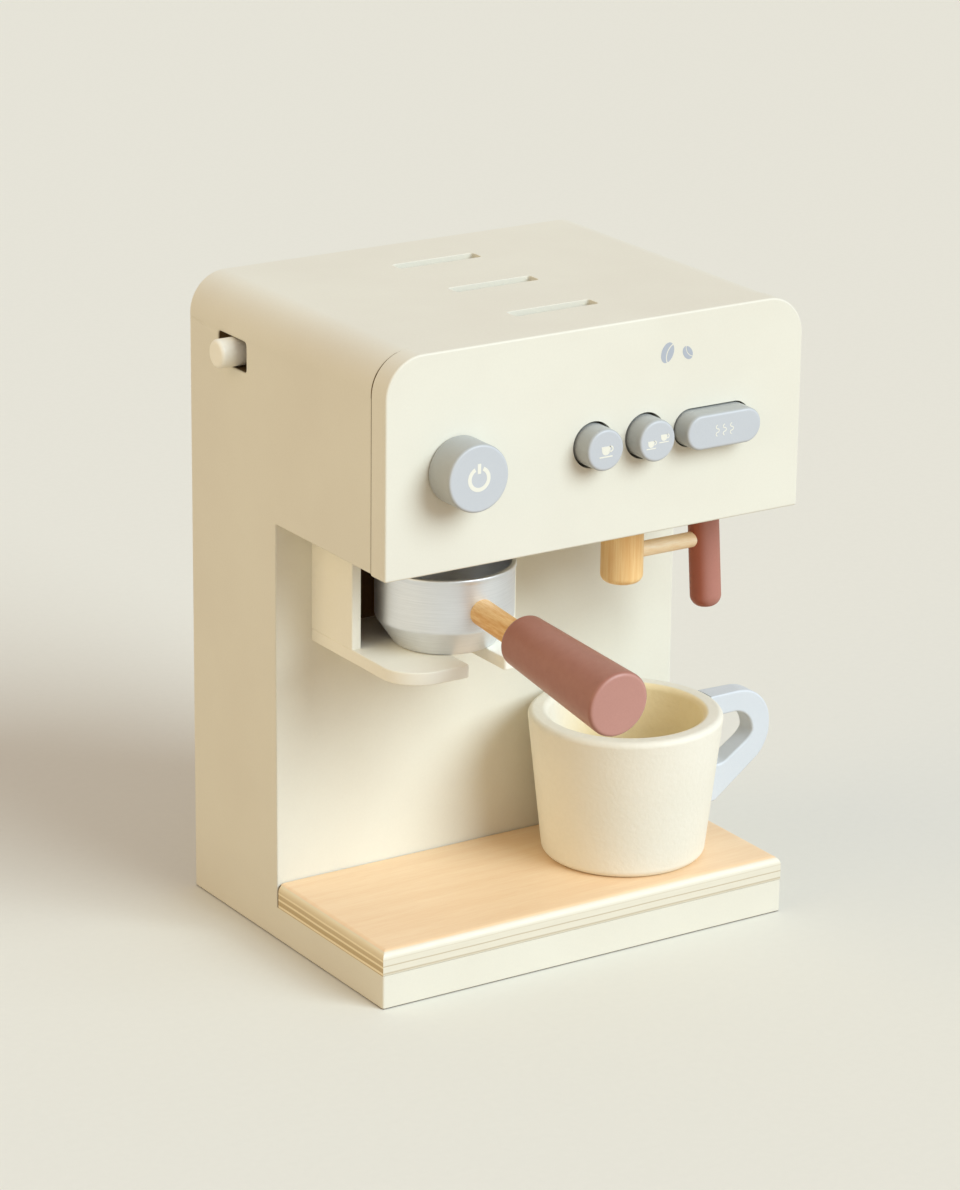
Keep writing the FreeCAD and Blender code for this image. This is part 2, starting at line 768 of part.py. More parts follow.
def plain_screw(name, start, along="y"):
    """A flat-headed screw, whose head starts at a point on a washer."""
    x, y, z = start
    foot = (x, y - screw_length, z) if along == "y" else (x, y, z - screw_length)
    head = rod(name + "_head", screw_head_radius, screw_head_height, start, along)
    shank = rod(name + "_shank", screw_radius, screw_length, foot, along)
    return fused(name, [head, shank])


knob_screw = plain_screw("knob_screw_solid", (knob_x, washer_front + washer_thickness, control_level))
part("knob_spindle", cut("knob_spindle_cut", spindle, knob_screw))
part("knob_washer", cut("knob_washer_cut",
                        rod("knob_washer_disc", washer_radius, washer_thickness,
                            (knob_x, washer_front, control_level), "y"), knob_screw))
part("knob_screw", knob_screw)

# Push buttons: a cap, a stem through the guide board, a stop disc and a spring
button_front = fascia_front - button_proud
button_back = button_front + button_length
guide_back = guide_front + guide_thickness
stop_front = guide_back + face_gap
stem_start = button_back - stem_socket
stem_length = stop_front + stop_thickness - stem_start


def button(name, place_x, is_long):
    """The cap, stem and stop disc of one button."""
    body = new_body(name + "_body")
    middle = (place_x, control_level)
    if is_long:
        sketch = obround_sketch(body, name + "_outline", "XZ_Plane", middle, long_straight / 2,
                                long_radius, -button_back)
    else:
        sketch = circle_sketch(body, name + "_ring", "XZ_Plane", middle, button_radius, -button_back)
    pad(body, name + "_pad", sketch, button_length)
    bevelled(body, name + "_edge", button_round, lambda edge: all_at(edge, 1, button_front))
    stem = rod(name + "_stem_rod", stem_radius, stem_length, (place_x, stem_start, control_level), "y")
    stop = rod(name + "_stop_disc", stop_radius, stop_thickness, (place_x, stop_front, control_level), "y")
    part(name, cut(name + "_cut", body, stem))
    part(name + "_stem", stem)
    part(name + "_stop", cut(name + "_stop_cut", stop, stem))


button("button_single", single_place, False)
button("button_double", double_place, False)
button("button_long", long_place, True)

guide_low_x = single_place - button_radius - spacer_gap - spacer_width
guide_high_x = long_place + long_straight / 2 + long_radius + spacer_gap + spacer_width
guide_blank = box("guide_blank", (guide_low_x, guide_front, control_level - guide_height / 2),
                  (guide_high_x, guide_back, control_level + guide_height / 2))
guide_bores = []
for index, x in enumerate((single_place, double_place, long_place)):
    guide_bores.append(rod("guide_bore_%d" % index, stem_bore, guide_thickness * 3,
                           (x, guide_front - guide_thickness, control_level), "y"))
part("button_guide", cut("button_guide_cut", guide_blank, *guide_bores))
spacers = []
for index, low_x in enumerate((guide_low_x, guide_high_x - spacer_width)):
    spacers.append(box("guide_spacer_%d" % index,
                       (low_x, shell_front, control_level - guide_height / 2),
                       (low_x + spacer_width, guide_front, control_level + guide_height / 2)))
spacer_group = doc.addObject("Part::Compound", "spacer_group")
spacer_group.Links = spacers
part("guide_spacers", spacer_group)

spring_turns = 4
steps_per_turn = 10
wire_sides = 4


def wire_section(start, run, outward, reach):
    """The outline of a spring's wire, square to its first run."""
    run = run.normalize()
    across = (outward - run * outward.dot(run)).normalize()
    other = run.cross(across)
    corners = []
    for corner in range(wire_sides + 1):
        angle = 2 * math.pi * corner / wire_sides
        corners.append(start + across * (reach * math.cos(angle)) + other * (reach * math.sin(angle)))
    return Part.makePolygon(corners)


def spring(name, place_x):
    """A return spring round a stem, between the cap and the guide board, bent in short steps."""
    reach = number(spring_wire) / 2
    start = number(button_back) + number(face_gap) + reach
    length = number(guide_front) - number(face_gap) - reach - start
    points = []
    for step in range(spring_turns * steps_per_turn + 1):
        angle = 2 * math.pi * step / steps_per_turn
        rise = length * step / (spring_turns * steps_per_turn)
        points.append(FreeCAD.Vector(number(spring_radius) * math.cos(angle),
                                     number(spring_radius) * math.sin(angle), rise))
    section = wire_section(points[0], points[1] - points[0], FreeCAD.Vector(points[0]), reach)
    obj = doc.addObject("Part::Feature", name + "_coil")
    obj.Shape = Part.makePolygon(points).makePipeShell([section], True, False, 1)
    place(obj, place_x, start, control_level, axis=(1, 0, 0), angle=-90.0)
    return part(name, obj)


spring("spring_single", single_place)
spring("spring_double", double_place)
spring("spring_long", long_place)

# Side peg on a slider block that runs between the top board and a rail
peg_start = -width / 2 - peg_proud
slider_x = -inner_half + face_gap
peg_body = new_body("peg_body")
peg_length = slider_x + slider_thickness - peg_start
pad(peg_body, "peg_pad",
    circle_sketch(peg_body, "peg_ring", "YZ_Plane", (peg_place, peg_level), peg_radius, peg_start),
    peg_length)
bevelled(peg_body, "peg_edge", peg_round, lambda edge: all_at(edge, 0, peg_start))
part("side_peg", peg_body)
slider_low = peg_level - slider_below
slider = box("slider_blank", (slider_x, peg_place - slider_length / 2, slider_low),
             (slider_x + slider_thickness, peg_place + slider_length / 2, side_top - face_gap))
peg_bore = rod("peg_bore", peg_radius, slider_thickness * 3,
               (slider_x - slider_thickness, peg_place, peg_level), "x")
part("slider_block", cut("slider_cut", slider, peg_bore))
rail_body = new_body("rail_body")
rail_x = slider_x + slider_thickness + face_gap
rail_low = slider_low - face_gap - rail_thickness
rail_outline = [
    (-inner_half, rail_low),
    (rail_x + rail_thickness, rail_low),
    (rail_x + rail_thickness, rail_low + rail_thickness + rail_lip),
    (rail_x, rail_low + rail_thickness + rail_lip),
    (rail_x, rail_low + rail_thickness),
    (-inner_half, rail_low + rail_thickness),
]
pad(rail_body, "rail_pad",
    outline(rail_body, "rail_outline", "XZ_Plane", rail_outline, -(peg_place + rail_length / 2)),
    rail_length)
part("slider_rail", rail_body)

# Bracket: two cheeks and a fork plate with an open notch
bracket_half = bracket_width / 2
cheek_front = column_front - cheek_depth
for name, low_x in (("bracket_cheek_left", bracket_x - bracket_half),
                    ("bracket_cheek_right", bracket_x + bracket_half - cheek_thickness)):
    part(name, box(name + "_board", (low_x, cheek_front, plate_level),
                   (low_x + cheek_thickness, column_front, overhang_level)))
plate_body = new_body("plate_body")
plate_front = column_front - plate_reach
notch_half = notch_width / 2
plate_outline = [
    (bracket_x - bracket_half, column_front),
    (bracket_x - bracket_half, plate_front, plate_corner),
    (bracket_x - notch_half, plate_front, tine_round),
    (bracket_x - notch_half, plate_front + notch_depth, notch_round),
    (bracket_x + notch_half, plate_front + notch_depth, notch_round),
    (bracket_x + notch_half, plate_front, tine_round),
    (bracket_x + bracket_half, plate_front, plate_corner),
    (bracket_x + bracket_half, column_front),
]
pad(plate_body, "plate_pad",
    outline(plate_body, "plate_outline", "XY_Plane", plate_outline, plate_level - plate_thickness),
    plate_thickness)
bevelled(plate_body, "plate_edges", plate_ease,
         lambda edge: (all_at(edge, 2, plate_level) or all_at(edge, 2, plate_level - plate_thickness))
         and not all_at(edge, 1, column_front))
bracket_pins = []
for index, x in enumerate((bracket_x - bracket_half + bracket_pin_inset,
                           bracket_x + bracket_half - bracket_pin_inset)):
    bracket_pins.append(rod("bracket_pin_%d" % index, bracket_pin_radius, bracket_pin_length,
                            (x, column_front + bracket_pin_depth - bracket_pin_length,
                             plate_level - plate_thickness / 2), "y"))
part("fork_plate", cut("fork_plate_cut", plate_body, *bracket_pins))
part("column_board", cut("column_cut", column_blank, *bracket_pins))
bracket_pin_group = doc.addObject("Part::Compound", "bracket_pin_group")
bracket_pin_group.Links = bracket_pins
part("bracket_pins", bracket_pin_group)

# Portafilter bowl, turned from sheet, open at the top
bowl_y = column_front - bowl_setback
bowl_body = new_body("bowl_body")
inner_foot = bowl_foot_radius - bowl_slant
inner_radius = bowl_radius - bowl_wall
lip_radius = bowl_radius + lip_proud
bowl_outline = [
    (0.0, 0.0),
    (bowl_foot_radius, 0.0),
    (bowl_radius, bowl_cone_height, bowl_bend_round, 1),
    (bowl_radius, bowl_height - lip_height),
    (lip_radius, bowl_height - lip_height),
    (lip_radius, bowl_height),
    (inner_radius, bowl_height),
    (inner_radius, bowl_cone_height + bowl_slant),
    (inner_foot, bowl_wall),
    (0.0, bowl_wall),
]
turned(bowl_body, "bowl_turn", outline(bowl_body, "bowl_outline", "XZ_Plane", bowl_outline))
place(bowl_body, bracket_x, bowl_y, plate_level)


def slanted(length, lean, function):
    """The part of a length that a lean in degrees leaves ("cos") or takes sideways ("sin")."""
    share = getattr(math, function)(math.radians(number(lean)))
    return Size(number(length) * share, "(%s) * %s(%s)" % (text_of(length), function, text_of(lean)))


def along_shaft(obj, distance):
    """Put an object made along +Z on the drooping shaft axis, a distance out from the bowl's axis."""
    forward = slanted(distance, handle_droop, "cos")
    down = slanted(distance, handle_droop, "sin")
    return place(obj, bracket_x, bowl_y - forward, plate_level + shaft_level - down,
                 axis=(1, 0, 0), angle=90.0 + handle_droop)


shaft_start = inner_radius
shaft_end = handle_start + handle_socket
shaft = doc.addObject("Part::Cylinder", "shaft_rod")
bind(shaft, Radius=shaft_radius, Height=shaft_end - shaft_start)
along_shaft(shaft, shaft_start)
shaft_screw_head = doc.addObject("Part::Cylinder", "shaft_screw_head")
bind(shaft_screw_head, Radius=screw_head_radius, Height=screw_head_height)
along_shaft(shaft_screw_head, shaft_start + shaft_screw_seat - screw_head_height)
shaft_screw_shank = doc.addObject("Part::Cylinder", "shaft_screw_shank")
bind(shaft_screw_shank, Radius=screw_radius, Height=screw_length)
along_shaft(shaft_screw_shank, shaft_start)
shaft_screw = fused("shaft_screw", [shaft_screw_head, shaft_screw_shank])
bowl_blank = rod("bowl_blank", bowl_radius, bowl_height, (bracket_x, bowl_y, plate_level))
part("portafilter_bowl", cut("bowl_cut", bowl_body, shaft_screw))
part("portafilter_shaft", cut("shaft_cut", shaft, bowl_blank, shaft_screw))
part("portafilter_screw", shaft_screw)
handle_body = new_body("handle_body")
handle_outline = [
    (shaft_radius, 0.0),
    (handle_small_radius, 0.0, handle_round, 1),
    (handle_large_radius, handle_length, handle_round, 1),
    (0.0, handle_length),
    (0.0, handle_socket),
    (shaft_radius, handle_socket),
]
turned(handle_body, "handle_turn", outline(handle_body, "handle_outline", "XZ_Plane", handle_outline))
along_shaft(handle_body, handle_start)
part("portafilter_handle", handle_body)

# Steam wand: hub under the housing floor, level peg and upright rod
hub_top = overhang_level - face_gap
hub_low = hub_top - hub_length
hub_body = new_body("hub_body")
hub_outline = [
    (0.0, 0.0),
    (hub_radius, 0.0, hub_round, 1),
    (hub_radius, hub_length),
    (0.0, hub_length),
]
turned(hub_body, "hub_turn", outline(hub_body, "hub_outline", "XZ_Plane", hub_outline))
place(hub_body, hub_x, hub_y, hub_low)
wand_level = overhang_level - wand_peg_drop
wand_x = hub_x + wand_reach
wand_peg = rod("wand_peg_rod", wand_peg_radius, wand_reach - hub_radius + wand_peg_socket * 2 - wand_radius,
               (hub_x + hub_radius - wand_peg_socket, hub_y, wand_level), "x")
hub_spindle_low = hub_top - hub_length / 3
hub_washer_low = floor_top + face_gap
hub_spindle = rod("hub_spindle_rod", hub_spindle_radius, hub_washer_low - hub_spindle_low,
                  (hub_x, hub_y, hub_spindle_low))
hub_screw = plain_screw("hub_screw_solid", (hub_x, hub_y, hub_washer_low + washer_thickness), "z")
hub_washer = rod("hub_washer_disc", hub_washer_radius, washer_thickness, (hub_x, hub_y, hub_washer_low))
part("steam_hub", cut("hub_cut", hub_body, wand_peg, hub_spindle))
part("steam_hub_spindle", cut("hub_spindle_cut", hub_spindle, hub_screw))
part("steam_hub_washer", cut("hub_washer_cut", hub_washer, hub_screw))
part("steam_hub_screw", hub_screw)
part("steam_peg", wand_peg)
wand_body = new_body("wand_body")
wand_length = wand_below + wand_above
wand_outline = [
    (0.0, 0.0),
    (wand_radius, 0.0, wand_foot_round, 2),
    (wand_radius, wand_length, wand_top_round, 1),
    (0.0, wand_length),
]
turned(wand_body, "wand_turn", outline(wand_body, "wand_outline", "XZ_Plane", wand_outline))
foot_forward = slanted(wand_below, wand_lean, "sin")
foot_down = slanted(wand_below, wand_lean, "cos")
place(wand_body, wand_x, hub_y - foot_forward, wand_level - foot_down, axis=(-1, 0, 0), angle=wand_lean)
part("steam_wand", cut("wand_cut", wand_body, wand_peg))

# Cup, turned, with its ear let into the wall on two dowels
cup_body = new_body("cup_body")
cup_inner_rim = cup_rim_radius - cup_wall
cup_inner_foot = cup_foot_radius - cup_wall
cup_outline = [
    (0.0, 0.0),
    (cup_foot_radius, 0.0, cup_foot_round, 1),
    (cup_rim_radius, cup_height, cup_rim_round, 2),
    (cup_inner_rim, cup_height, cup_rim_round, 1),
    (cup_inner_foot, cup_floor),
    (0.0, cup_floor),
]
turned(cup_body, "cup_turn", outline(cup_body, "cup_outline", "XZ_Plane", cup_outline))
place(cup_body, cup_x, cup_y, tray_top)
cup_pins = []
for index, (reach, level) in enumerate(((ear_pin_reach_top, ear_top - ear_band / 2),
                                        (ear_pin_reach_low, (ear_heel_level + ear_gap_level) / 2))):
    cup_pins.append(rod("cup_pin_%d" % index, ear_pin_radius, ear_pin_length,
                        (cup_x + reach, cup_y, tray_top + level), "x"))
part("cup_body", cut("cup_cut", cup_body, *cup_pins))
cup_pin_group = doc.addObject("Part::Compound", "cup_pin_group")
cup_pin_group.Links = cup_pins
part("cup_pins", cup_pin_group)
ear_body = new_body("ear_body")
ear_inner_reach = ear_reach - ear_band
ear_outline = [
    (cup_inner_rim, ear_top),
    (ear_reach, ear_top, ear_top_round),
    (ear_reach, ear_bend_level, ear_bend_round),
    (ear_heel_reach, ear_heel_level, ear_heel_round),
    (cup_inner_foot, ear_heel_level),
    (cup_inner_foot, ear_gap_level),
    (ear_gap_reach, ear_gap_level, ear_gap_round),
    (ear_inner_reach, ear_gap_bend_level, ear_gap_round),
    (ear_inner_reach, ear_top - ear_band, ear_gap_top_round),
    (cup_inner_rim, ear_top - ear_band),
]
pad(ear_body, "ear_pad", outline(ear_body, "ear_outline", "XZ_Plane", ear_outline, -ear_thickness / 2),
    ear_thickness)
bevelled(ear_body, "ear_edges", ear_round,
         lambda edge: (all_at(edge, 1, ear_thickness / 2) or all_at(edge, 1, -ear_thickness / 2))
         and edge.BoundBox.XMax > cup_rim_radius.value)
place(ear_body, cup_x, cup_y, tray_top)
cup_blank = doc.addObject("Part::Cone", "cup_blank")
bind(cup_blank, Radius1=cup_foot_radius, Radius2=cup_rim_radius, Height=cup_height)
place(cup_blank, cup_x, cup_y, tray_top)
part("cup_handle", cut("ear_cut", ear_body, cup_blank, *cup_pins))

# Check everything, then write one file for each piece
doc.recompute()
for obj in doc.Objects:
    if "Invalid" in obj.State or "Error" in obj.State:
        raise RuntimeError("%s (%s) failed: %s" % (obj.Name, obj.Label, obj.State))
for node, obj in parts:
    if obj.Shape.isNull() or not obj.Shape.isValid() or not obj.Shape.Solids:
        raise RuntimeError("%s has no valid solid" % node)
for node, obj in parts:
    obj.Shape.exportStep("parts/%s.step" % node)
    print("%-22s %2d solid(s) %10.1f mm3" % (node, len(obj.Shape.Solids), obj.Shape.Volume))
print("%d pieces" % len(parts))
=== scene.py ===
# %% [markdown]
# A wooden play coffee maker, dressed for its portrait.
# The boards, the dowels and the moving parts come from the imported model, which is the fixed frame.
# This lesson adds what a maker's hand adds: soft edges, smooth turned shapes, paint, timber and metal.

# %% Load the fixed frame
import json
import math
import bmesh
import bpy
from mathutils import Matrix, Vector


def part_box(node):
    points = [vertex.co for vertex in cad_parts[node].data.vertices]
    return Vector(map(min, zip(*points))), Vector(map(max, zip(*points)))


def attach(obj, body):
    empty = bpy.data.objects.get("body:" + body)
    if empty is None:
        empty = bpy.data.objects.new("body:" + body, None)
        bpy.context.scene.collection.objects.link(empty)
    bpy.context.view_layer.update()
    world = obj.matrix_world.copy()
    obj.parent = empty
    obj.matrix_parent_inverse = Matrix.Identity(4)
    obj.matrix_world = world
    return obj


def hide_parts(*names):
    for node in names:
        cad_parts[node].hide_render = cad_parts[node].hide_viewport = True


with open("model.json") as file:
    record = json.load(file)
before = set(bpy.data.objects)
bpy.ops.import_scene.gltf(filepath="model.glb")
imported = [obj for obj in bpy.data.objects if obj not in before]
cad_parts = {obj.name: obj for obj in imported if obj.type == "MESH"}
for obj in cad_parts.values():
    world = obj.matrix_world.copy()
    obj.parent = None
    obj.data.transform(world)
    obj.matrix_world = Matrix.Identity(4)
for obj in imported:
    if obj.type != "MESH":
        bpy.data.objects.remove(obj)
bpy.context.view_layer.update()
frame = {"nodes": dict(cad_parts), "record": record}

nodes = frame["nodes"]
print("nodes in the frame:", len(nodes))

# %% [markdown]
# The photograph was taken from the front left, a little above, with a long lens that flattens the depth.
# The camera stands where the four corners of the base and the edges of the front panel line up with it.

# %% Camera
TARGET = Vector((-0.00893, -0.00698, 0.12803))
DISTANCE = 1.6677
AZIMUTH = math.radians(32.955)
ELEVATION = math.radians(18.76)
ROLL = math.radians(0.675)

back = Vector((-math.sin(AZIMUTH) * math.cos(ELEVATION),
               -math.cos(AZIMUTH) * math.cos(ELEVATION),
               math.sin(ELEVATION)))
level_right = (-back).cross(Vector((0, 0, 1))).normalized()
level_up = level_right.cross(-back)
right = math.cos(ROLL) * level_right + math.sin(ROLL) * level_up
up = -math.sin(ROLL) * level_right + math.cos(ROLL) * level_up

camera_data = bpy.data.cameras.new("portrait camera")
camera_data.lens = 133.68
camera_data.sensor_width = 36.0
camera = bpy.data.objects.new("portrait camera", camera_data)
bpy.context.scene.collection.objects.link(camera)
turn = Matrix((right, up, back)).transposed().to_4x4()
camera.matrix_world = Matrix.Translation(TARGET + back * DISTANCE) @ turn
bpy.context.scene.camera = camera
print("camera at", [round(v, 3) for v in camera.location])

# %% [markdown]
# Every tool below works on what is selected, so a piece starts with a clean selection.
# Edges and faces are then picked by where they lie, because nobody clicks in a script.

# %% Helpers for selecting and finishing
MM = 0.001
SAME, CLOSE = 1e-6, 1e-5


def clear_selection():
    """Leave edit mode and deselect everything."""
    if bpy.context.object and bpy.context.object.mode != "OBJECT":
        bpy.ops.object.mode_set(mode="OBJECT")
    bpy.ops.object.select_all(action="DESELECT")


def pick(piece):
    """Make one piece the selected and active one."""
    clear_selection()
    piece.select_set(True)
    bpy.context.view_layer.objects.active = piece


def edit_all():
    """Go into edit mode with the whole mesh selected."""
    bpy.ops.object.mode_set(mode="EDIT")
    bpy.ops.mesh.select_all(action="SELECT")


def leave_edit():
    """Go back to object mode."""
    bpy.ops.object.mode_set(mode="OBJECT")


def face_outward():
    """Turn all the faces outward, and go back to object mode."""
    bpy.ops.mesh.select_all(action="SELECT")
    bpy.ops.mesh.normals_make_consistent(inside=False)
    leave_edit()


def choose(piece, kind, wanted):
    """In edit mode, select the vertices, edges or faces that pass a test, and count them."""
    pick(piece)
    bpy.ops.object.mode_set(mode="EDIT")
    bpy.ops.mesh.select_mode(type=kind)
    bpy.ops.mesh.select_all(action="DESELECT")
    mesh = bmesh.from_edit_mesh(piece.data)
    elements = {"VERT": mesh.verts, "EDGE": mesh.edges, "FACE": mesh.faces}[kind]
    chosen = [element for element in elements if wanted(element)]
    for element in chosen:
        element.select_set(True)
    bmesh.update_edit_mesh(piece.data)
    return len(chosen)


def select_edges(piece, wanted):
    """Select the edges whose two end points pass a test."""
    return choose(piece, "EDGE", lambda edge: wanted(edge.verts[0].co, edge.verts[1].co))


def round_edges(piece, wanted, width, segments):
    """Bevel the edges that pass a test."""
    if not select_edges(piece, wanted):
        raise RuntimeError("no edge to round on " + piece.name)
    bpy.ops.mesh.bevel(offset=width, offset_type="OFFSET", segments=segments, profile=0.5, affect="EDGES")
    leave_edit()


def apply_modifier(piece, kind, **settings):
    """Add a modifier, set it and apply it."""
    pick(piece)
    modifier = piece.modifiers.new(kind.lower(), kind)
    for name, value in settings.items():
        setattr(modifier, name, value)
    bpy.ops.object.modifier_apply(modifier=modifier.name)


def settle(piece):
    """Put a piece's place and turn into its mesh, with its object at the origin."""
    pick(piece)
    bpy.ops.object.transform_apply(location=True, rotation=True, scale=True)
    edit_all()
    bpy.ops.mesh.remove_doubles(threshold=0.000002)
    face_outward()
    return piece


def smooth(piece, degrees=32.0):
    """Smooth shading over soft bends, with flat faces kept flat."""
    pick(piece)
    bpy.ops.object.shade_smooth_by_angle(angle=math.radians(degrees))
    apply_modifier(piece, "WEIGHTED_NORMAL", keep_sharp=True, weight=100)
    return piece


# %% [markdown]
# Knob, cup, bowl and handle are turned on a lathe in the real toy.
# Here a disc is drawn up ring by ring, which gives the same profile and clean round edges.

# %% Helpers for turned pieces
def circle(name, radius, vertices, fill="NGON"):
    """A new flat circle about the origin."""
    clear_selection()
    bpy.ops.mesh.primitive_circle_add(vertices=vertices, radius=radius, fill_type=fill)
    piece = bpy.context.object
    piece.name = name
    return piece


def turned(name, rings, segments=128):
    """A turned shape along +Z: each ring is (height, radius) in metres, from the first cap to the last."""
    height, radius = rings[0]
    piece = circle(name, radius, segments)
    piece.location.z = height
    bpy.ops.object.transform_apply(location=True, rotation=True, scale=True)
    edit_all()
    for (low, inner), (high, outer) in zip(rings, rings[1:]):
        bpy.ops.mesh.extrude_region_move(TRANSFORM_OT_translate={"value": (0, 0, high - low)})
        if abs(outer - inner) > 1e-9:
            ratio = outer / inner
            bpy.ops.transform.resize(value=(ratio, ratio, 1.0), center_override=(0, 0, high))
    face_outward()
    return piece


def round_ring(piece, height, radius, width, segments=6):
    """Round the sharp ring of a turned shape at a height and radius."""
    def on_ring(a, b):
        return all(abs(p.z - height) < 2e-5 and abs(math.hypot(p.x, p.y) - radius) < 2e-5 for p in (a, b))
    round_edges(piece, on_ring, width, segments)


def stand(piece, place, turn=(0.0, 0.0, 0.0)):
    """Move and turn a finished shape to its place."""
    piece.location = place
    piece.rotation_euler = turn
    return settle(piece)


def dowel(name, radius, length, foot=None, end=None, segments=128):
    """A dowel from the origin along +Z. A rounded end is given by its width and its steps."""
    piece = turned(name, [(0.0, radius), (length, radius)], segments)
    for height, rounding in ((length, end), (0.0, foot)):
        if rounding:
            round_ring(piece, height, radius, *rounding)
    return piece


FORWARD = (math.pi / 2, 0.0, 0.0)
SIDEWAYS = (0.0, math.pi / 2, 0.0)


# %% [markdown]
# The boards are sawn square, and then their edges are routed and sanded.
# A cube takes the board's size, chosen edges get the large radius, and cutters make the openings.

# %% Helpers for boards
def centre(node):
    """The middle of a node's box."""
    low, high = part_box(node)
    return (Vector(low) + Vector(high)) / 2


def board(name, low, high):
    """A plain board between two corners."""
    clear_selection()
    low, high = Vector(low), Vector(high)
    bpy.ops.mesh.primitive_cube_add(size=1.0, location=(low + high) / 2)
    piece = bpy.context.object
    piece.name = name
    piece.scale = high - low
    bpy.ops.object.transform_apply(location=True, rotation=True, scale=True)
    return piece


def cut_out(piece, cutter):
    """Take a cutter's shape out of a piece, and throw the cutter away."""
    apply_modifier(piece, "BOOLEAN", operation="DIFFERENCE", solver="EXACT", object=cutter)
    bpy.data.objects.remove(cutter)


def ease(piece, width, segments=3, degrees=40.0):
    """Sand all the sharp edges that are left."""
    apply_modifier(piece, "BEVEL", width=width, segments=segments, limit_method="ANGLE",
                   angle_limit=math.radians(degrees), harden_normals=False)


def along(axis, at):
    """A test for edges that run along one axis (0, 1 or 2) and whose middle passes a second test."""
    others = [i for i in range(3) if i != axis]
    def wanted(a, b):
        straight = all(abs(a[i] - b[i]) < SAME for i in others)
        return straight and abs(a[axis] - b[axis]) > SAME and at((a + b) / 2)
    return wanted


def obround(name, low, high):
    """A bar with full round ends along X: a circle is pulled apart and drawn out along -Y."""
    radius, depth = (high[2] - low[2]) / 2, high[1] - low[1]
    bar = circle(name, radius, 96)
    choose(bar, "VERT", lambda vertex: vertex.co.x > SAME)
    bpy.ops.transform.translate(value=(high[0] - low[0] - 2 * radius, 0.0, 0.0))
    bpy.ops.mesh.select_all(action="SELECT")
    bpy.ops.mesh.extrude_region_move(TRANSFORM_OT_translate={"value": (0.0, 0.0, depth)})
    face_outward()
    return stand(bar, (low[0] + radius, high[1], (low[2] + high[2]) / 2), FORWARD)


# %% [markdown]
# Paint on wood is never quite even: the spray leaves a fine skin, and the colour drifts a little.
# Both come from noise in the piece's own coordinates, so they stay put when a part moves.
# The group gives out a colour and a height, and each paint sets its own values.

# %% Helpers for shader nodes
def group_with(name, inputs):
    """A node group with inputs of named kinds that gives out a colour, a roughness and a height."""
    group = bpy.data.node_groups.new(name, "ShaderNodeTree")
    outputs = {"Colour": "Color", "Roughness": "Float", "Height": "Float"}
    for side, sockets in (("INPUT", inputs), ("OUTPUT", outputs)):
        for label, kind in sockets.items():
            group.interface.new_socket(name=label, in_out=side, socket_type="NodeSocket" + kind)
    return group, group.nodes.new("NodeGroupInput").outputs, group.nodes.new("NodeGroupOutput").inputs


def feed(tree, socket, value):
    """Link a socket to an input, or write a plain value into it."""
    if isinstance(value, bpy.types.NodeSocket):
        tree.links.new(value, socket)
    else:
        socket.default_value = value


def noise(tree, vector, scale, detail=3.0, roughness=0.5):
    """A noise texture on a vector socket."""
    node = tree.nodes.new("ShaderNodeTexNoise")
    for label, value in (("Vector", vector), ("Scale", scale), ("Detail", detail), ("Roughness", roughness)):
        feed(tree, node.inputs[label], value)
    return node.outputs["Fac"]


def maths(tree, operation, *values):
    """A math node whose inputs are sockets or numbers."""
    node = tree.nodes.new("ShaderNodeMath")
    node.operation = operation
    for index, value in enumerate(values):
        feed(tree, node.inputs[index], value)
    return node.outputs["Value"]


def vector_maths(tree, operation, first, second):
    """A vector math node."""
    node = tree.nodes.new("ShaderNodeVectorMath")
    node.operation = operation
    feed(tree, node.inputs[0], first)
    feed(tree, node.inputs[1], second)
    return node.outputs["Value" if operation == "DOT_PRODUCT" else "Vector"]


def mix_colour(tree, factor, first, second):
    """A colour mix whose inputs are sockets, numbers or colours."""
    node = tree.nodes.new("ShaderNodeMix")
    node.data_type = "RGBA"
    for index, value in ((0, factor), (6, first), (7, second)):
        feed(tree, node.inputs[index], value)
    return node.outputs[2]


def spread(tree, value, low, high, to_low, to_high):
    """Map a value from one range to another, clamped."""
    node = tree.nodes.new("ShaderNodeMapRange")
    for label, number in (("Value", value), ("From Min", low), ("From Max", high), ("To Min", to_low),
                          ("To Max", to_high)):
        feed(tree, node.inputs[label], number)
    return node.outputs["Result"]


def two_tone(tree, factor, first, second):
    """A mix of two screen colours."""
    return mix_colour(tree, factor, linear(*first), linear(*second))


def parts(tree, vector):
    """The X, Y and Z of a vector socket."""
    node = tree.nodes.new("ShaderNodeSeparateXYZ")
    tree.links.new(vector, node.inputs["Vector"])
    return node.outputs


def stretched(tree, vector, scale, turn=(0.0, 0.0, 0.0)):
    """A vector socket scaled and turned by a Mapping node."""
    node = tree.nodes.new("ShaderNodeMapping")
    node.inputs["Scale"].default_value = scale
    node.inputs["Rotation"].default_value = turn
    tree.links.new(vector, node.inputs["Vector"])
    return node.outputs["Vector"]


# %% Node group: sprayed paint
paint, given, result = group_with("sprayed paint", {
    "Coordinates": "Vector", "Base": "Color", "Drift": "Color", "Skin Scale": "Float",
    "Roughness Low": "Float", "Roughness High": "Float"})
fine = noise(paint, given["Coordinates"], given["Skin Scale"], 2.0)
slow = spread(paint, noise(paint, given["Coordinates"], 22.0), 0.35, 0.65, 0.0, 0.75)
grain = spread(paint, fine, 0.35, 0.65, 0.0, 0.25)
drifting = maths(paint, "ADD", slow, grain)
feed(paint, result["Colour"], mix_colour(paint, drifting, given["Base"], given["Drift"]))
feed(paint, result["Roughness"], spread(paint, fine, 0.3, 0.7, given["Roughness Low"], given["Roughness High"]))
feed(paint, result["Height"], maths(paint, "MULTIPLY_ADD", slow, 0.15, fine))
print("group:", paint.name)


# %% [markdown]
# Colours are written as they look on a screen, and turned to the linear values that light needs.

